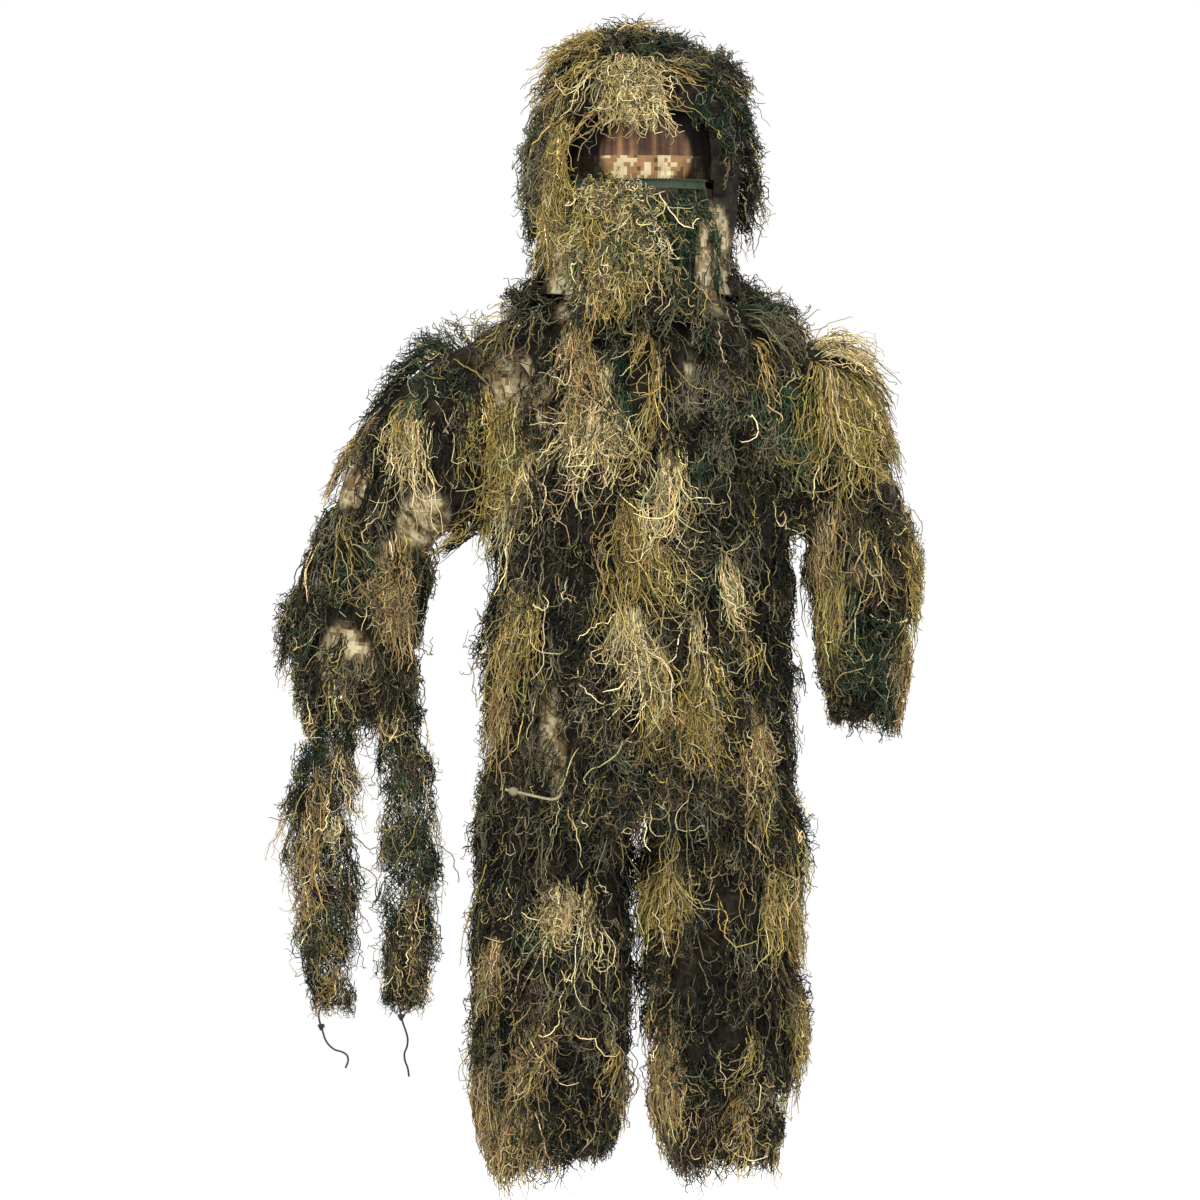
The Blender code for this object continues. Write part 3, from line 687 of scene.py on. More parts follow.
def hang(roots, normals, lengths, lifts, each, rng, tree, fall, curl, starts, wander, sway, cap):
    """Paths of strands that leave the cloth, hang down it without entering it, and curl at the end.

    The strands of one tuft wander together near their roots and part towards their ends.
    """
    count = len(roots)
    groups = each.max() + 1
    step = (lengths / (STRAND_POINTS - 1))[:, None]
    down = unit(np.array([0.0, 0.0, -1.0]) + sway)
    heading = unit(normals * 0.6 + down * 0.8 + rng.normal(0, 0.2, (count, 3)))
    place = roots + normals * 0.001
    spin = rng.choice([-1.0, 1.0], count) * rng.uniform(0.2, 1.2, count) * curl
    axes = unit(normals + rng.normal(0, 0.5, (count, 3)))
    own = np.zeros((count, 3))
    shared = np.zeros((groups, 3))
    path = [place]
    for k in range(1, STRAND_POINTS):
        share = k / (STRAND_POINTS - 1)
        loose = np.clip((share - starts) / 0.2, 0, 1)
        own = 0.6 * own + rng.normal(0, (0.12 + 0.06 * share) * wander, (count, 3))
        shared = 0.7 * shared + rng.normal(0, 0.13 * wander, (groups, 3))
        pull = (fall * (1 - 0.85 * loose))[:, None]
        heading = unit(heading * (1 - pull) + down * pull + own + shared[each])
        heading = turned(heading, axes, spin * loose)
        place = place + heading * step
        least = lifts * (0.45 + 0.75 * share)
        for i in range(count):
            near, normal, _, _ = tree.find_nearest(place[i])
            outward = np.array(normal)
            gap = (place[i] - near) @ outward
            if gap < least[i]:
                place[i] += outward * min(least[i] - gap, STEP_LIMIT)
            elif gap > cap[i]:
                place[i] += outward * max(cap[i] - gap, -STEP_LIMIT)
        path.append(place)
    path = np.stack(path, 1)
    grow = np.minimum(1, np.linspace(0, 1, STRAND_POINTS) * 4)[None, :, None]
    path += rng.normal(0, 0.0015, path.shape) * grow
    return np.clip(path, ROOM_LOW, ROOM_HIGH)


def lumps(points):
    """From 0 to 1: where the yarn lies thin or stands thick, in lumps about a hand wide."""
    return np.array([0.45 + 1.3 * noise.noise(Vector(p) * 11.0) for p in points]).clip(0, 1)


# Places where the yarn stands out beyond its usual outline: x, z, reach and extra height
BULGES = metres([
    (-180, 175, 60, 16), (195, 170, 65, 24), (130, 340, 50, 30), (-10, 370, 80, 14),
    (-290, -65, 65, 46), (-220, -15, 75, 48), (215, -20, 80, 44), (400, -390, 65, 16),
    (-510, -500, 60, 12), (-235, -540, 40, 22), (-240, -630, 40, 28), (-235, -760, 40, 24),
    (235, -800, 45, 24), (225, -1050, 50, 18), (-255, -1120, 60, 14), (160, -60, 60, 14),
    (-480, -300, 50, 14), (285, -65, 62, 38),
])


def bulges(points):
    """Extra height of the yarn at each point."""
    extra = np.zeros(len(points))
    for x, z, reach, height in BULGES:
        away = np.hypot(points[:, 0] - x, points[:, 2] - z) / reach
        extra = np.maximum(extra, height * np.clip(1.3 - away, 0, 1))
    return extra


def tufts(skin, count, strands, rng, tree, colour_at, length=(0.08, 0.14), lift=(0.001, 0.01),
          spread=0.007, weight=None, fall=0.55, curl=1.0, radius=(0.0007, 0.0012), sway=0.16,
          room=0.012, thick=0.026, lowest=EVEN, wander=1.0):
    """Bundles of strands sewn to the skin: (paths, colours, radii)."""
    centres, normals = skin.sample(count, rng, weight)
    colours, proud = colour_at(centres, normals, rng)
    bulk = thick * lumps(centres) * rng.uniform(0.3, 1.0, count) + bulges(centres) + 0.006 * proud
    each = np.repeat(np.arange(count), strands)
    total = len(each)
    jitter = rng.normal(0, spread, (total, 3))
    outward = normals[each]
    jitter -= (jitter * outward).sum(1, keepdims=True) * outward
    roots = centres[each] + jitter
    top = proud[each]
    lengths = rng.uniform(*length, count)[each] * rng.uniform(0.6, 1.15, total)
    lengths *= np.where(top > 0, 0.35 + 0.9 * top, 0.85)
    below = np.interp(roots[:, 0], *lowest) + 0.07 * rng.random(total) ** 2
    lengths = np.clip(lengths, 0.02, np.maximum(roots[:, 2] - below, 0.02))
    lifts = rng.uniform(*lift, total) + bulk[each]
    lean = rng.normal(0, sway, (count, 3))[each] * (1, 1, 0)
    paths = hang(roots, outward, lengths, lifts, each, rng, tree, fall + 0.12 * top,
                 curl * (1.4 - 0.7 * top), rng.uniform(0.2 + 0.25 * top, 0.9), wander, lean,
                 lifts + room)
    own = colours[each]
    stray = rng.random(total) < np.where(top > 0, 0.0, 0.24)
    own[stray] = choose(DARK_STRAYS, stray.sum(), rng)
    mixed = rng.random(total) < np.where(top > 0, 0.42, 0.0)
    own[mixed] = choose(LOCK_STRAYS, mixed.sum(), rng)
    shade = np.exp(rng.normal(0, 0.38, (total, 1)))
    tint = np.exp(rng.normal(0, 0.06, (total, 3)))
    return paths, own * shade * tint, rng.uniform(*radius, total)


# Patches of coloured yarn on the front: centre x and z, half width, half height, colour
PATCHES = metres([
    # hood
    (-15, 300, 42, 36, STRAW), (-150, 310, 34, 45, TAN), (85, 378, 55, 26, TAN),
    (-75, 350, 40, 35, MUSTARD), (150, 190, 45, 110, BLACK_OLIVE), (60, 300, 40, 60, GREY_OLIVE),
    (-160, 210, 36, 80, GREY_OLIVE), (110, 260, 45, 50, FOREST), (60, 235, 30, 25, FOREST),
    (-116, 150, 16, 110, MUSTARD),
    # chest and shoulders
    (10, -145, 16, 75, MUSTARD), (-95, -95, 15, 50, TAN), (-68, -190, 42, 70, STRAW),
    (-205, -215, 40, 60, MUSTARD), (-188, -285, 30, 60, STRAW), (38, -290, 32, 60, STRAW),
    (0, -380, 34, 55, MUSTARD), (-12, -500, 36, 60, STRAW), (94, -140, 44, 70, GREY_OLIVE),
    (-175, -500, 30, 40, MUSTARD), (125, -440, 13, 45, STRAW), (80, -500, 14, 40, STRAW),
    (88, -620, 36, 60, MUSTARD), (20, -600, 24, 60, MUSTARD), (-34, -660, 30, 55, GREY_OLIVE),
    (200, -150, 50, 30, GREEN), (195, -560, 40, 150, BLACK_OLIVE), (130, -560, 24, 60, FOREST),
    (-120, -430, 40, 80, BLACK_OLIVE), (-210, -660, 30, 80, DARK_OLIVE),
    (120, -310, 50, 70, BLACK_OLIVE), (-80, -330, 35, 40, BLACK_OLIVE), (-195, -600, 18, 40, TAN),
    (160, -680, 20, 40, TAN),
    # right sleeve (at -X)
    (-345, -225, 22, 55, STRAW), (-475, -300, 34, 40, MUSTARD), (-430, -240, 30, 40, TAN),
    (-402, -380, 30, 14, GREEN), (-382, -430, 26, 40, TAN), (-525, -480, 16, 40, TAN),
    (-440, -440, 30, 50, FOREST), (-320, -120, 60, 40, FOREST), (-505, -560, 20, 50, BLACK_OLIVE),
    (-390, -540, 22, 40, DARK_OLIVE),
    # left sleeve (at +X)
    (312, -110, 60, 60, MUSTARD), (290, -90, 40, 30, STRAW), (300, -190, 50, 50, MUSTARD),
    (250, -190, 20, 60, GREEN), (282, -340, 34, 34, TAN), (395, -560, 16, 55, TAN),
    (335, -520, 40, 80, FOREST), (370, -340, 34, 60, DARK_OLIVE), (395, -420, 20, 40, MUSTARD),
    (300, -470, 14, 60, MUSTARD),
    # trousers
    (-115, -935, 46, 24, STRAW), (-218, -1015, 24, 35, TAN), (-164, -1140, 28, 55, TAN),
    (-92, -1150, 40, 44, GREY_OLIVE), (-190, -1280, 42, 40, TAN), (62, -910, 36, 60, MUSTARD),
    (200, -915, 24, 95, MUSTARD), (48, -1180, 20, 60, TAN), (163, -1250, 16, 40, TAN),
    (90, -1300, 30, 30, BROWN), (-50, -1250, 30, 60, FOREST), (-200, -900, 30, 60, BLACK_OLIVE),
    (120, -1050, 50, 80, BLACK_OLIVE), (220, -1100, 16, 60, MUSTARD), (-230, -1220, 18, 50, TAN),
    (140, -860, 30, 30, GREY_OLIVE),
    # rifle wrap
    (-500, -760, 16, 50, TAN), (-470, -820, 14, 60, STRAW), (-510, -930, 18, 40, TAN),
    (-470, -1020, 20, 60, TAN), (-330, -830, 18, 40, MUSTARD), (-500, -700, 20, 30, FOREST),
    (-345, -960, 18, 50, TAN), (-350, -740, 20, 40, GREEN),
])
# Places on the front where the cloth shows between the tufts, out of the painted shade
BARE = metres([
    (-206, -140, 40, 45), (-228, -435, 16, 50), (-134, -690, 18, 75), (215, -235, 18, 20),
    (-330, -365, 38, 45), (-436, -300, 26, 40), (365, -290, 26, 22), (350, -442, 55, 13),
    (-115, 15, 26, 70), (112, 30, 28, 80), (95, -1345, 26, 24), (-450, -575, 40, 50),
    # the last place lights the middle of the eye band; its left and top stay in painted shadow
    (75, -165, 10, 40), (-150, -215, 12, 70), (8, 188, 62, 55),
])
PALE = [patch for patch in PATCHES if sum(patch[4]) > 0.4]


def ellipse(points, x, z, half_x, half_z, up=0.0):
    """Squared distance from the middle of an upright ellipse, 1 at its edge."""
    return ((points[:, 0] - x) / half_x) ** 2 + ((points[:, 2] - z) / half_z - up) ** 2


def bareness(points):
    """From 0, under yarn, to 1, where the cloth shows; the cloth's painted shade is deepest at 0.
    """
    bare = np.zeros(len(points))
    for spot in BARE:
        away = ellipse(points, *spot)
        bare = np.maximum(bare, np.clip(2.6 * (1.35 - away), 0, 1) * (points[:, 1] < 0.02))
    return bare


def choose(table, count, rng):
    shares = np.array([share for _, share in table])
    pick = rng.choice(len(table), count, p=shares / shares.sum())
    return np.array([colour for colour, _ in table])[pick]


def painted(colours, centres, where, rng):
    """Gives the tufts in each coloured patch its colour, and tells how proud each tuft stands."""
    for *patch, colour in PATCHES:
        away = ellipse(centres, *patch)
        colours[where & (away < rng.uniform(0.35, 0.9, len(centres)))] = colour
    return colours, is_pale(colours)


def is_pale(colours):
    return (np.sum(colours, axis=-1) > 0.4).astype(float)


def suit_colours(centres, normals, rng):
    """Patch by patch on the front, mixed elsewhere."""
    count = len(centres)
    front = normals[:, 1] < 0.25
    colours = np.where(front[:, None], choose(BACKGROUND, count, rng), choose(AROUND, count, rng))
    return painted(colours, centres, front, rng)


def even_colours(*table):
    """Makes a chooser of tuft colours from one table; all its tufts stand proud."""
    return lambda centres, normals, rng: (choose(table, len(centres), rng), np.ones(len(centres)))


def wrap_colours(centres, normals, rng):
    """Dark net colours, with the wrap's patches showing through on both sides."""
    colours = choose(NETTING, len(centres), rng)
    return painted(colours, centres, rng.random(len(centres)) < 0.3, rng)


def lock_colours(centres, normals, rng):
    """The nearest pale patch's colour; the taller the patch, the longer and prouder its locks."""
    nearest = np.argmin([ellipse(centres, *patch[:4]) for patch in PALE], axis=0)
    colours = np.array([patch[4] for patch in PALE])[nearest]
    tall = np.array([patch[3] for patch in PALE])[nearest]
    return colours, np.clip(tall / 0.055, 0.3, 1)


def in_locks(points):
    """1 high in each pale patch on the front, where its locks are sewn on; 0 elsewhere."""
    away = np.min([ellipse(points, *patch[:4], 0.6) for patch in PALE], axis=0)
    return (away < 0.5) * (points[:, 1] < 0.01) * 1.0


def leg_colours(centres, normals, rng):
    """The suit's colours with more near-black among them."""
    colours, proud = suit_colours(centres, normals, rng)
    dim = rng.random(len(colours)) < 0.4
    colours[dim] = BLACK_OLIVE
    return colours, proud * ~dim


# ---------------------------------------------------------------- cords

def smooth_route(points, spacing):
    """Points a spacing apart along a Catmull-Rom curve through the given points."""
    pts = [Vector(p) for p in points]
    pts = [2 * pts[0] - pts[1]] + pts + [2 * pts[-1] - pts[-2]]
    route = []
    for a, b, c, d in zip(pts, pts[1:], pts[2:], pts[3:]):
        steps = max(1, round((c - b).length / spacing))
        for i in range(steps):
            t = i / steps
            route.append(0.5 * (2 * b + (c - a) * t + (2 * a - 5 * b + 4 * c - d) * t ** 2
                                + (3 * b - a - 3 * c + d) * t ** 3))
    route.append(pts[-2])
    return route


def cord_curve(name, route, diameter, material, knot=False):
    """A round cord along the points; a knot is closed on itself."""
    curve = bpy.data.curves.new(name, "CURVE")
    curve.dimensions = "3D"
    curve.bevel_depth = diameter / 2
    curve.bevel_resolution = 3 if knot else 4
    curve.use_fill_caps = not knot
    spline = curve.splines.new("POLY")
    spline.points.add(len(route) - 1)
    for point, place in zip(spline.points, route):
        point.co = (*place, 1.0)
    spline.use_cyclic_u = knot
    spline.use_smooth = True
    return placed(name, curve, material)


def overhand_knot(name, centre, size, thickness, material):
    """A small knot of cord: a closed trefoil."""
    route = [Vector(centre) + Vector((math.sin(t) + 2 * math.sin(2 * t), -math.sin(3 * t) * 1.2,
                                      math.cos(t) - 2 * math.cos(2 * t))) * size / 3
             for t in (math.tau * i / 48 for i in range(48))]
    return cord_curve(name, route, thickness, material, knot=True)


HEM_ROUTE = metres([
    (-118, -145, -768), (-119, -160, -770), (-122, -173, -776), (-131, -179, -780),
    (-143, -177, -779), (-155, -171.5, -776.5), (-167, -166, -774), (-179, -160.5, -771.5),
    (-191, -155, -769), (-203, -149.5, -766.5),
])
OUTER_CORD = metres([
    (-488, -10, -1104), (-491, -11.5, -1114), (-490, -12, -1124), (-487, -12, -1134),
    (-484, -12, -1144), (-481, -12.5, -1153), (-475, -13, -1162), (-466, -13, -1169),
    (-456, -13, -1172), (-448, -12.5, -1177), (-446, -12, -1186), (-450, -12, -1197),
])
INNER_CORD = metres([
    (-370, -10, -1090), (-369, -11.5, -1099), (-367, -12, -1109), (-365, -12, -1119),
    (-362, -12.5, -1129), (-358, -13, -1140), (-355, -13, -1152), (-356, -13, -1164),
    (-360, -12.5, -1175), (-359, -12, -1186), (-355, -12, -1197), (-353, -12, -1210),
])
KNOT_AT = 3


def declared_cord(name, points, diameter, material, body, node, slot, **options):
    """A free cord along a smooth curve through the points, put on its body in place of its CAD
    node.
    """
    route = smooth_route(points, 0.003)
    cord = cord_curve(name, route, diameter, material)
    attach(cord, (body,), (node,))


def build_cords():
    black = ribbed_material("black_elastic", (0.012, 0.012, 0.014), 0.55)
    khaki = ribbed_material("khaki_cord", (0.36, 0.31, 0.18), 0.8)
    declared_cord("hem_drawcord", HEM_ROUTE, 0.004, khaki, "jacket", "hem_cord", "cord_khaki",
                  stiffness="medium", lay="loose", with_pieces=["hem_toggle"])
    toggle = ribbed_material("toggle_plastic", (0.25, 0.21, 0.12), 0.5, 300.0)
    NODES["hem_toggle"].material_slots[0].material = toggle
    for part, route in (("outer", OUTER_CORD), ("inner", INNER_CORD)):
        knot = overhand_knot("knot_" + part, route[KNOT_AT], 0.0046, 0.0028, black)
        attach(knot, ("wrap_" + part,), ("wrap_knot_" + part,))
        declared_cord("elastic_" + part, route, 0.003, black, "wrap_" + part, "wrap_cord_" + part,
                      "cord_black", stiffness="limp", lay="hanging", with_pieces=[knot])


# ---------------------------------------------------------------- the suit

def joint_pos(name):
    return Vector(JOINTS[name]["pos_m"])


def box_middle(name):
    low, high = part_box(name)
    return (low + high) / 2


def coat(name, skin, count, tree, colour_at, zone, slot="yarn", replaced=(), strands=16,
         weight=None, strays=0.35, **options):
    """Covers a skin with tufts, and lays long loose strands over them."""
    rng = np.random.default_rng(sum(ord(letter) * 7 ** i for i, letter in enumerate(name)))
    bundles = [tufts(skin, count, strands, rng, tree, colour_at, weight=weight, **options)]
    shared = {key: options[key] for key in ("thick", "lowest") if key in options}
    if round(count * strays) > 0:
        bundles.append(tufts(skin, round(count * strays), 1, rng, tree, even_colours(*PALE_STRAYS),
                             weight=weight, length=(0.07, 0.13), lift=(0.004, 0.012), fall=0.28,
                             curl=2.0, sway=0.4, **shared))
    yarn_pieces(name, bundles, zone, replaced)


def locks(name, skin, count, tree, zone, slot="yarn", **options):
    """Long pale locks, which hang straight from the tops of the pale patches."""
    coat(name, skin, count, tree, lock_colours, zone, slot, strands=22, weight=in_locks, strays=0.2,
         length=(0.08, 0.13), lift=(0.005, 0.012), spread=0.006, fall=0.78, curl=0.9, sway=0.06,
         thick=0.014, wander=0.6, **options)


def tapered(skin, middle):
    """The lowest part of a leg, drawn in towards its middle."""
    points = skin.points.copy()
    start, end = TAPER
    share = np.clip((start - points[..., 2]) / (start - end), 0, 1)
    points[..., 0] = middle + (points[..., 0] - middle) * (1 - ANKLE_DRAW * share)
    return Skin(points)


def garment_skins():
    """The torso, arms, legs, hood and mask as tubes of cloth."""
    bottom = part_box("jacket_back")[0].z + 0.002
    torso = level_skin(["jacket_back", "jacket_front_left", "jacket_front_right"], (0, 0),
                       np.linspace(-0.004, bottom, 48), 128)
    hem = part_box("hem_casing")[0].z
    skirt = torso.points[-1:] + np.array([0, 0, hem - torso.points[-1, 0, 2]])
    skins = {"torso": Skin(np.concatenate([torso.points, (torso.points[-1:] + skirt) / 2, skirt]))}
    for hand in HANDS:
        skins["arm_" + hand] = arm_skin(hand, 40)
        middle = box_middle("leg_upper_" + hand).x
        heights = np.linspace(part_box("leg_upper_" + hand)[1].z + 0.008,
                              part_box("leg_lower_" + hand)[0].z + 0.002, 40)
        leg = level_skin(["leg_upper_" + hand, "leg_lower_" + hand], (middle, 0), heights, 72)
        skins["leg_" + hand] = tapered(leg, middle)
    low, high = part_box("hood_shell")
    heights = low.z + 0.003 + (high.z - low.z - 0.009) * np.sin(np.linspace(0, math.pi / 2, 44))
    hood = level_skin(["hood_shell"], (0, 0.004), heights[::-1], 144, holes=True)
    skins["hood"] = draped(crowned(hood, 0.004), 0.052, 0.016)
    veil = node_skin("veil_panel", 24, 48, -0.002, 0.002, VEIL_MIDDLE, sector=(222, 318))
    skins["veil"] = flapped(veil, 0.021, 0.037)
    return skins


def crowned(skin, rise):
    """The skin closed over its first row by a low crown."""
    ring = skin.points[0]
    middle = ring.mean(0)
    rows = [middle + (ring - middle) * share + (0, 0, rise * (1 - share ** 2))
            for share in (0.02, 0.3, 0.65)]
    shown = np.ones((3, len(ring)), bool)
    return Skin(np.concatenate([rows, skin.points]), np.concatenate([shown, skin.shown]))


def flapped(skin, out, back):
    """The open skin carried on past both side edges, outwards and back to what it hangs before."""
    share = np.linspace(0, 1, 6)[1:, None]
    left = skin.points[:, :1] + (share * (-out, back, 0))[::-1]
    right = skin.points[:, -1:] + share * (out, back, 0)
    return Skin(np.concatenate([left, skin.points, right], 1), closed=False)


def build_jacket(torso, tree):
    zone = ("jacket",)
    cloth_piece("jacket_cloth", wrinkled(settled(torso), 1, 0.0015), CAMO, zone,
                ("jacket_back", "jacket_front_right", "jacket_front_left"))
    for part, inside, count in (("right", lambda p: (p[:, 1] < 0) & (p[:, 0] < 0), 235),
                                ("left", lambda p: (p[:, 1] < 0) & (p[:, 0] >= 0), 235),
                                ("back", lambda p: p[:, 1] >= 0, 330)):
        coat("yarn_jacket_" + part, torso, count, tree, suit_colours, zone,
             replaced=("jacket_yarn_" + part,), weight=covered(inside))
    locks("locks_jacket", torso, 100, tree, zone)
    coat("yarn_hem", torso.rows(0.93, 1), 120, tree, suit_colours, zone, length=(0.06, 0.12))


def build_limb(kind, hand, cuts, zones, tree, colour_at, counts, seed, gather, **options):
    """Cloth and yarn of a sleeve or a leg: its upper and its lower part."""
    lower = wrinkled(settled(cuts[1]), seed + 1, gather=gather)
    cloths = (wrinkled(cuts[0], seed), lower)
    slot = options.pop("slot")
    weight = options.pop("weight")
    for i, part in enumerate(("upper_" + hand, "lower_" + hand)):
        cloth_piece(f"{kind}_cloth_{part}", cloths[i], CAMO, zones[i], (f"{kind}_{part}",))
        coat(f"yarn_{kind}_{part}", cuts[i], counts[i], tree, colour_at, zones[i], slot,
             (f"{kind}_yarn_{part}",), weight=weight, **options)
        locks(f"locks_{kind}_{part}", cuts[i], counts[i + 2], tree, zones[i], slot, **options)


def build_sleeve(hand, skin):
    upper, lower = "sleeve_upper_" + hand, "sleeve_lower_" + hand
    tree = tree_over([skin])
    cuts = skin.rows(0, ELBOW_ROW), skin.rows(ELBOW_ROW, 1)
    start, middle, end = (Vector(ring.mean(0)) for ring in
                          (skin.points[0], cuts[1].points[0], skin.points[-1]))
    elbow = joint_pos("elbow_" + hand)
    elbow.y = 0
    along = (end - middle).normalized() * CREASE_REACH
    zones = ("jacket", upper, start, middle), (upper, lower, elbow - along, elbow + along)
    lowest = SLEEVE_END[hand]
    build_limb("sleeve", hand, cuts, zones, tree, suit_colours, (120, 190, 26, 34), 3, 0.004,
               slot="yarn", weight=covered(), lowest=lowest)
    coat("yarn_shoulder_" + hand, skin.rows(0, 0.1), 46, tree, suit_colours, ("jacket",),
         spread=0.014, length=(0.05, 0.09), thick=0.016)
    elastic = "cuff_elastic_" + hand
    cuff = node_skin(elastic, 9, 160, 0.004, 0, (box_middle(elastic).x, 0))
    cloth_piece("cuff_" + hand, ruffled(cuff, 30), EDGE, (lower,), (elastic,))
    coat("yarn_cuff_" + hand, skin.rows(0.9, 1), 46, tree, suit_colours, (lower,),
         length=(0.04, 0.1), lowest=lowest)


def build_leg(hand, skin):
    upper, lower = "leg_upper_" + hand, "leg_lower_" + hand
    tree = tree_over([skin])
    cuts = skin.rows(0, THIGH_ROW), skin.rows(THIGH_ROW, 1)
    hip, knee = joint_pos("hip_" + hand), joint_pos("knee_" + hand)
    reach = Vector((0, 0, CREASE_REACH))
    hip_end = Vector(cuts[0].points[-1].mean(0))
    zones = (("trousers", upper, Vector((hip_end.x, 0, hip.z + 0.02)), hip_end),
             (upper, lower, knee + reach, knee - reach))
    build_limb("leg", hand, cuts, zones, tree, leg_colours, (90, 240, 16, 44), 5, 0.005,
               slot="yarn_dark", weight=None, lowest=RAGGED)
    elastic = "ankle_elastic_" + hand
    middle = box_middle(upper).x
    ankle = tapered(node_skin(elastic, 9, 160, 0.004, 0, (middle, 0)), middle)
    cloth_piece("ankle_" + hand, ruffled(ankle, 34), EDGE, (lower,), (elastic,))
    coat("yarn_ankle_" + hand, skin.rows(0.89, 1), 110, tree, leg_colours, (lower,), "yarn_dark",
         length=(0.06, 0.12), lowest=RAGGED, thick=0.014)


def build_head(hood, veil, tree):
    """The hood with the tuft over its brim, and the mask with its curls."""
    pale = even_colours((STRAW, 0.7), (MUSTARD, 0.3))
    curls = even_colours((STRAW, 0.55), (MUSTARD, 0.25), (GREEN, 0.2))
    zone = ("jacket", "hood", Vector((0, 0.1, -0.04)), Vector((0, -0.02, 0.09)))
    cloth_piece("hood_cloth", wrinkled(hood, 7), CAMO, zone, ("hood_shell",))
    coat("yarn_hood", hood, 340, tree, suit_colours, zone, replaced=("hood_yarn",),
         length=(0.05, 0.1), sway=0.5, weight=covered())
    locks("locks_hood", hood, 34, tree, zone)
    coat("yarn_brim", hood, 28, tree, pale, ("hood",), length=(0.06, 0.09),
         weight=over_brim, thick=0.022, strays=0.6)
    mask_tree = tree_over([veil])
    cloth_piece("veil_cloth", wrinkled(veil, 8), CAMO, ("veil",), ("veil_panel",))
    coat("yarn_veil", veil, 90, mask_tree, veil_colours, ("veil",), replaced=("veil_yarn",),
         length=(0.06, 0.1), weight=covered(), fall=0.7, curl=0.8, thick=0.01, sway=0.08)
    coat("yarn_mask_curls", veil, 42, mask_tree, curls, ("veil",), length=(0.05, 0.09),
         weight=over_mask, fall=0.18, curl=2.4, lift=(0.006, 0.022), thick=0.01, sway=0.6,
         spread=0.01)
    coat("yarn_mask_top", veil.rows(0, 0.1), 16, mask_tree, pale, ("veil",), strays=0,
         length=(0.02, 0.04), weight=mask_edge, fall=-0.18, curl=3.0, lift=(0.01, 0.022),
         thick=0.006, sway=0.5, spread=0.008, room=0.02)


def over_brim(points):
    """On the hood, just over the face opening."""
    x, y, z = points.T
    return (np.abs(x + 0.016) < 0.036) & (z > 0.262) & (z < 0.33) & (y < 0)


def over_mask(points):
    """The upper right of the mask, from its wearer's side."""
    x, _, z = points.T
    return (x > -0.078) & (x < 0.014) & (z > 0.045)


def mask_edge(points):
    """The right of the mask's top edge, from its wearer's side."""
    return (points[:, 0] > -0.082) & (points[:, 0] < -0.012)


def build_suit():
    skins = garment_skins()
    body_tree = tree_over([skins["torso"], skins["hood"]])
    build_jacket(skins["torso"], body_tree)
    for hand in HANDS:
        build_sleeve(hand, skins["arm_" + hand])
        build_leg(hand, skins["leg_" + hand])
    build_head(skins["hood"], skins["veil"], body_tree)
    build_hood_inside()
    build_edges()
    build_trouser_top(tree_over([skins["leg_right"], skins["leg_left"]]))
    build_wrap()


def draped(skin, drop, flare):
    """The skin carried on below its last row, opening out a little as it comes to rest."""
    last = skin.points[-1]
    middle = last.mean(0)
    out = unit((last - middle) * (1, 1, 0))
    share = np.linspace(0, 1, 8)[1:, None, None]
    skirt = last + out * flare * share ** 1.5 - np.array([0, 0, drop]) * share
    shown = np.repeat(skin.shown[-1:], 7, axis=0)
    return Skin(np.concatenate([skin.points, skirt]), np.concatenate([skin.shown, shown]))


def veil_colours(centres, normals, rng):
    """Pale curls high on the mask, forest green at the wearer's left, dark olive below."""
    x, z = centres[:, 0], centres[:, 2]
    table = [(BLACK_OLIVE, 0.4), (DARK_OLIVE, 0.3), (GREY_OLIVE, 0.3)]
    colours = choose(table, len(centres), rng)
    colours[(z > 0.0) & (x > 0.022)] = FOREST
    colours[(z > 0.06) & (x < 0.014)] = STRAW
    colours[(z > 0.02) & (z <= 0.06) & (x < 0.03) & (x > -0.06)] = MUSTARD
    return colours, is_pale(colours)


def tree_over(skins):
    """One search tree over all the skins."""
    points = np.concatenate([skin.points.reshape(-1, 3) for skin in skins])
    faces, first = [], 0
    for skin in skins:
        faces += (skin.faces() + first).tolist()
        first += skin.points.size // 3
    return BVHTree.FromPolygons([tuple(p) for p in points], faces)


def covered(half=None):
    """Where tufts may grow: off the bare patches, and in one half of the garment."""
    def weight(points):
        bare = [hold * bareness(points - (0, 0, drop))
                for drop, hold in ((0.0, 0.9), (0.03, 0.92), (0.06, 0.85), (0.09, 0.5))]
        share = 1 - np.max(bare, axis=0)
        shoulder = (np.abs(points[:, 0]) > 0.15) & (points[:, 2] > -0.085)
        share = np.maximum(share, 0.8 * shoulder)
        return share if half is None else share * half(points)
    return weight


def ruffled(skin, folds, depth=0.0028):
    """A gathered band: pleats all round, pinched at mid height by the elastic inside."""
    rows, columns = skin.points.shape[:2]
    i = np.linspace(-1, 1, rows)[:, None]
    angle = np.linspace(0, math.tau, columns, endpoint=not skin.closed)[None, :]
    pleats = np.sin(folds * angle + 1.2 * np.sin(5 * angle))
    relief = depth * (0.45 + 0.55 * i ** 2) * pleats + 0.002 * i ** 2
    return Skin(skin.points + skin.normals * relief[..., None], skin.shown, skin.closed)


def build_hood_inside():
    """The gathered band that shows through the face opening, and the brim over it."""
    band = node_skin("eye_band", 40, 150, -0.001, 0.001, sector=(219, 321), thickness=0.002)
    band = wrinkled(band, 9, 0.0015, top_gather=0.0035, gather=0.0025, folds=44)
    cloth_piece("eye_band_cloth", band, band_material("eye_band_cloth"), ("hood",), ("eye_band",))
    brim = node_skin("hood_brim", 7, 40, sector=(253.5, 286.5))
    cloth_piece("hood_brim_cloth", ruffled(brim, 20, 0.0012), band_material("brim_cloth"),
                ("hood",), ("hood_brim",))


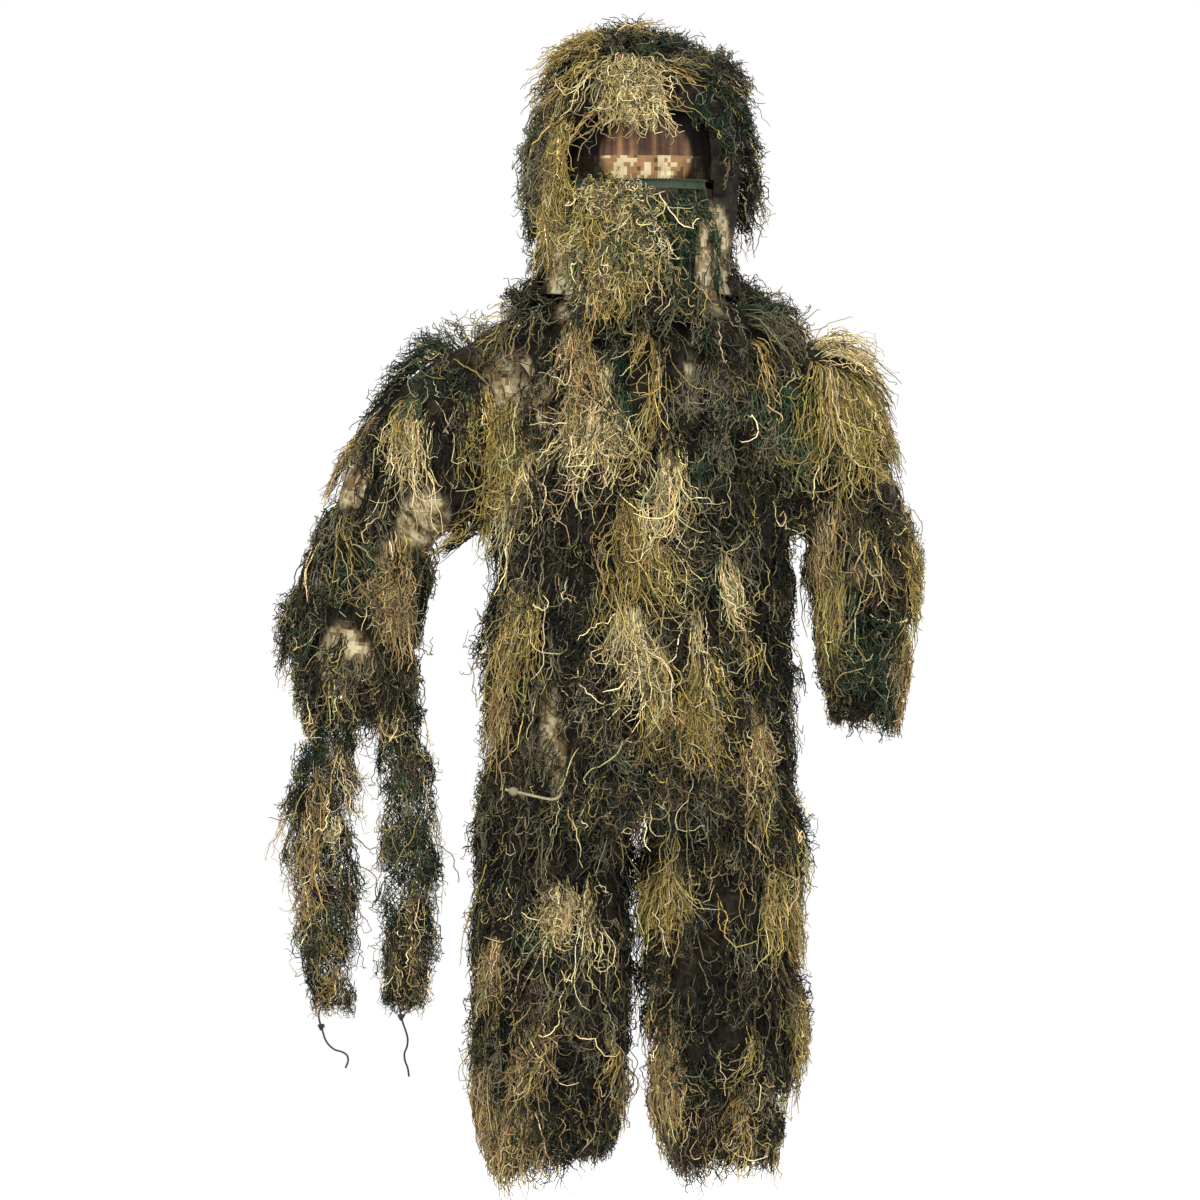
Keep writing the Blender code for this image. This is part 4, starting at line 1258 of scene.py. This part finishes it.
def build_edges():
    """Collar, hem casing, placket and the mask's rolled top edge."""
    collar = ruffled(node_skin("collar_band", 6, 120), 18, 0.0012)
    cloth_piece("collar_cloth", collar, EDGE, ("jacket",), ("collar_band",))
    casing = ruffled(node_skin("hem_casing", 9, 220), 44, 0.0016)
    cloth_piece("hem_cloth", casing, EDGE, ("jacket",), ("hem_casing",))
    placket = node_skin("placket", 60, 12, -0.002, 0.002, sector=(262.5, 277.5))
    cloth_piece("placket_cloth", wrinkled(placket, 12, 0.0012), CAMO, ("jacket",), ("placket",))
    roll = node_skin("veil_elastic", 11, 120, 0, -0.005, VEIL_MIDDLE, sector=(223, 317),
                     thickness=0.009)
    forest = ribbed_material("veil_elastic", (0.04, 0.06, 0.034), 0.9, 420.0)
    cloth_piece("veil_roll", ruffled(roll, 44, 0.0012), forest, ("veil",), ("veil_elastic",))
    snap = ribbed_material("snap_metal", (0.1, 0.095, 0.08), 0.42, 260.0)
    set_inputs(snap.node_tree.nodes["Principled BSDF"], Metallic=0.85)
    for name, node in NODES.items():
        if name.startswith("press_stud"):
            node.material_slots[0].material = snap


def build_trouser_top(tree):
    """The seat, the yarn that fills the crotch, and the gathered waist."""
    seat = wrinkled(node_skin("trouser_seat", 20, 120, -0.001, -0.006), 14, 0.002)
    # painted shade: the seat is drawn at a little over half its print's brightness
    cloth_piece("seat_cloth", seat, CAMO, ("trousers",), ("trouser_seat",), bare=TOP_UNSHADED_SHARE)
    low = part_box("trouser_seat")[0].z
    crotch = level_skin(["trouser_seat"], (0, 0), np.linspace(low + 0.03, low + 0.002, 4), 96)
    coat("yarn_crotch", crotch, 90, tree, leg_colours, ("trousers",), "yarn_dark",
         length=(0.12, 0.18), weight=between_legs, fall=0.8, sway=0.08, strays=0.1)
    waist = ruffled(node_skin("waist_casing", 13, 240), 56, 0.0022)
    # painted shade on the waist, as on the seat
    cloth_piece("waist_cloth", waist, EDGE, ("trousers",), ("waist_casing", "waist_elastic"),
                bare=TOP_UNSHADED_SHARE)


def between_legs(points):
    return np.abs(points[:, 0]) < 0.045


def lobe_skin(name):
    """A flat tube the shape of a wrap lobe, with its middle and half width at its heights."""
    places = np.array([v.co for v in NODES[name].data.vertices])
    levels = []
    for z in np.unique(places[:, 2].round(3)):
        x = places[np.abs(places[:, 2] - z) < 0.002][:, 0]
        if x.max() - x.min() > 0.02:
            levels.append((z, (x.min() + x.max()) / 2, (x.max() - x.min()) / 2))
    z, mid, wide = np.array(levels).T
    heights = np.linspace(z[-1] + 0.014, z[0], 40)
    middle, half = np.interp(heights, z, mid), np.interp(heights, z, wide)
    angle = np.arange(24) * math.tau / 24
    x = middle[:, None] + half[:, None] * np.cos(angle)
    y, z = np.broadcast_arrays(0.005 * np.sin(angle), heights[:, None])
    return Skin(np.stack([x, y, z], -1)), middle, half, heights


def net_strands(middle, half, heights, rng):
    """Two families of slanting threads that cross into an open net over a lobe, front and back."""
    threads = []
    top, bottom = heights[0], heights[-1]
    t = np.linspace(0, 1, STRAND_POINTS)
    order = np.argsort(heights)
    for lean in (-1, 1):
        for start in np.arange(bottom - 0.06, top + 0.06, NET_PITCH):
            run = rng.uniform(0.7, 1.0)
            z = start + lean * 0.045 * (t - 0.5) * 2 * run
            inside = (z > bottom) & (z < top)
            if inside.sum() < 4:
                continue
            z = np.clip(z, bottom, top)
            mid = np.interp(z, heights[order], middle[order])
            wide = np.interp(z, heights[order], half[order])
            x = mid + wide * (2 * t - 1)
            y = 0.004 * np.sin(t * 40 + start * 900) + rng.normal(0, 0.0006, len(t))
            threads.append(np.stack([x, y, z], -1))
    paths = np.stack(threads)
    return paths + rng.normal(0, 0.0009, paths.shape)


def build_wrap():
    """The rifle wrap: two lobes of net with yarn tied through it, and the band it hangs from."""
    middle = box_middle("wrap_yoke")
    yoke = node_skin("wrap_yoke", 7, 96, -0.001, 0.001, (middle.x, middle.y))
    cloth_piece("yoke_cloth", ruffled(yoke, 22, 0.0012), EDGE, ("sleeve_lower_right",),
                ("wrap_yoke",))
    coat("yarn_yoke", yoke, 46, tree_over([yoke]), wrap_colours, ("sleeve_lower_right",),
         length=(0.04, 0.08), room=0.006, thick=0.006)
    rng = np.random.default_rng(23)
    for part in ("outer", "inner"):
        skin, *lobe = lobe_skin("wrap_net_" + part)
        top = Vector((lobe[0][0], 0, lobe[2][0] + 0.02))
        zone = ("sleeve_lower_right", "wrap_" + part, top, top - Vector((0, 0, 0.05)))
        net = net_strands(*lobe, rng)
        shade = np.array(DARK_OLIVE) * np.exp(rng.normal(0, 0.3, (len(net), 1)))
        yarn_pieces("net_" + part, [(net, shade, np.full(len(net), 0.0009))], zone,
                    ("wrap_net_" + part,))
        coat("yarn_wrap_" + part, skin, 150, tree_over([skin]), wrap_colours, zone,
             replaced=("wrap_yarn_" + part,), length=(0.04, 0.11), lift=(0.0, 0.003),
             radius=(0.0005, 0.001), sway=0.1, fall=0.65, curl=1.4, room=0.006, thick=0.006,
             lowest=level_end(-1.13), strays=0.2)


# painted shade under the yarn: the cloth's print falls to 0.05, the edges' darker print to 0.4
CAMO = camo_material("camo_cloth", PRINT)
EDGE = camo_material("camo_edge", PRINT[:3] + PRINT[4:], shade=0.7, least=0.4)
YARN = yarn_material()

build_studio()
build_cords()
build_suit()
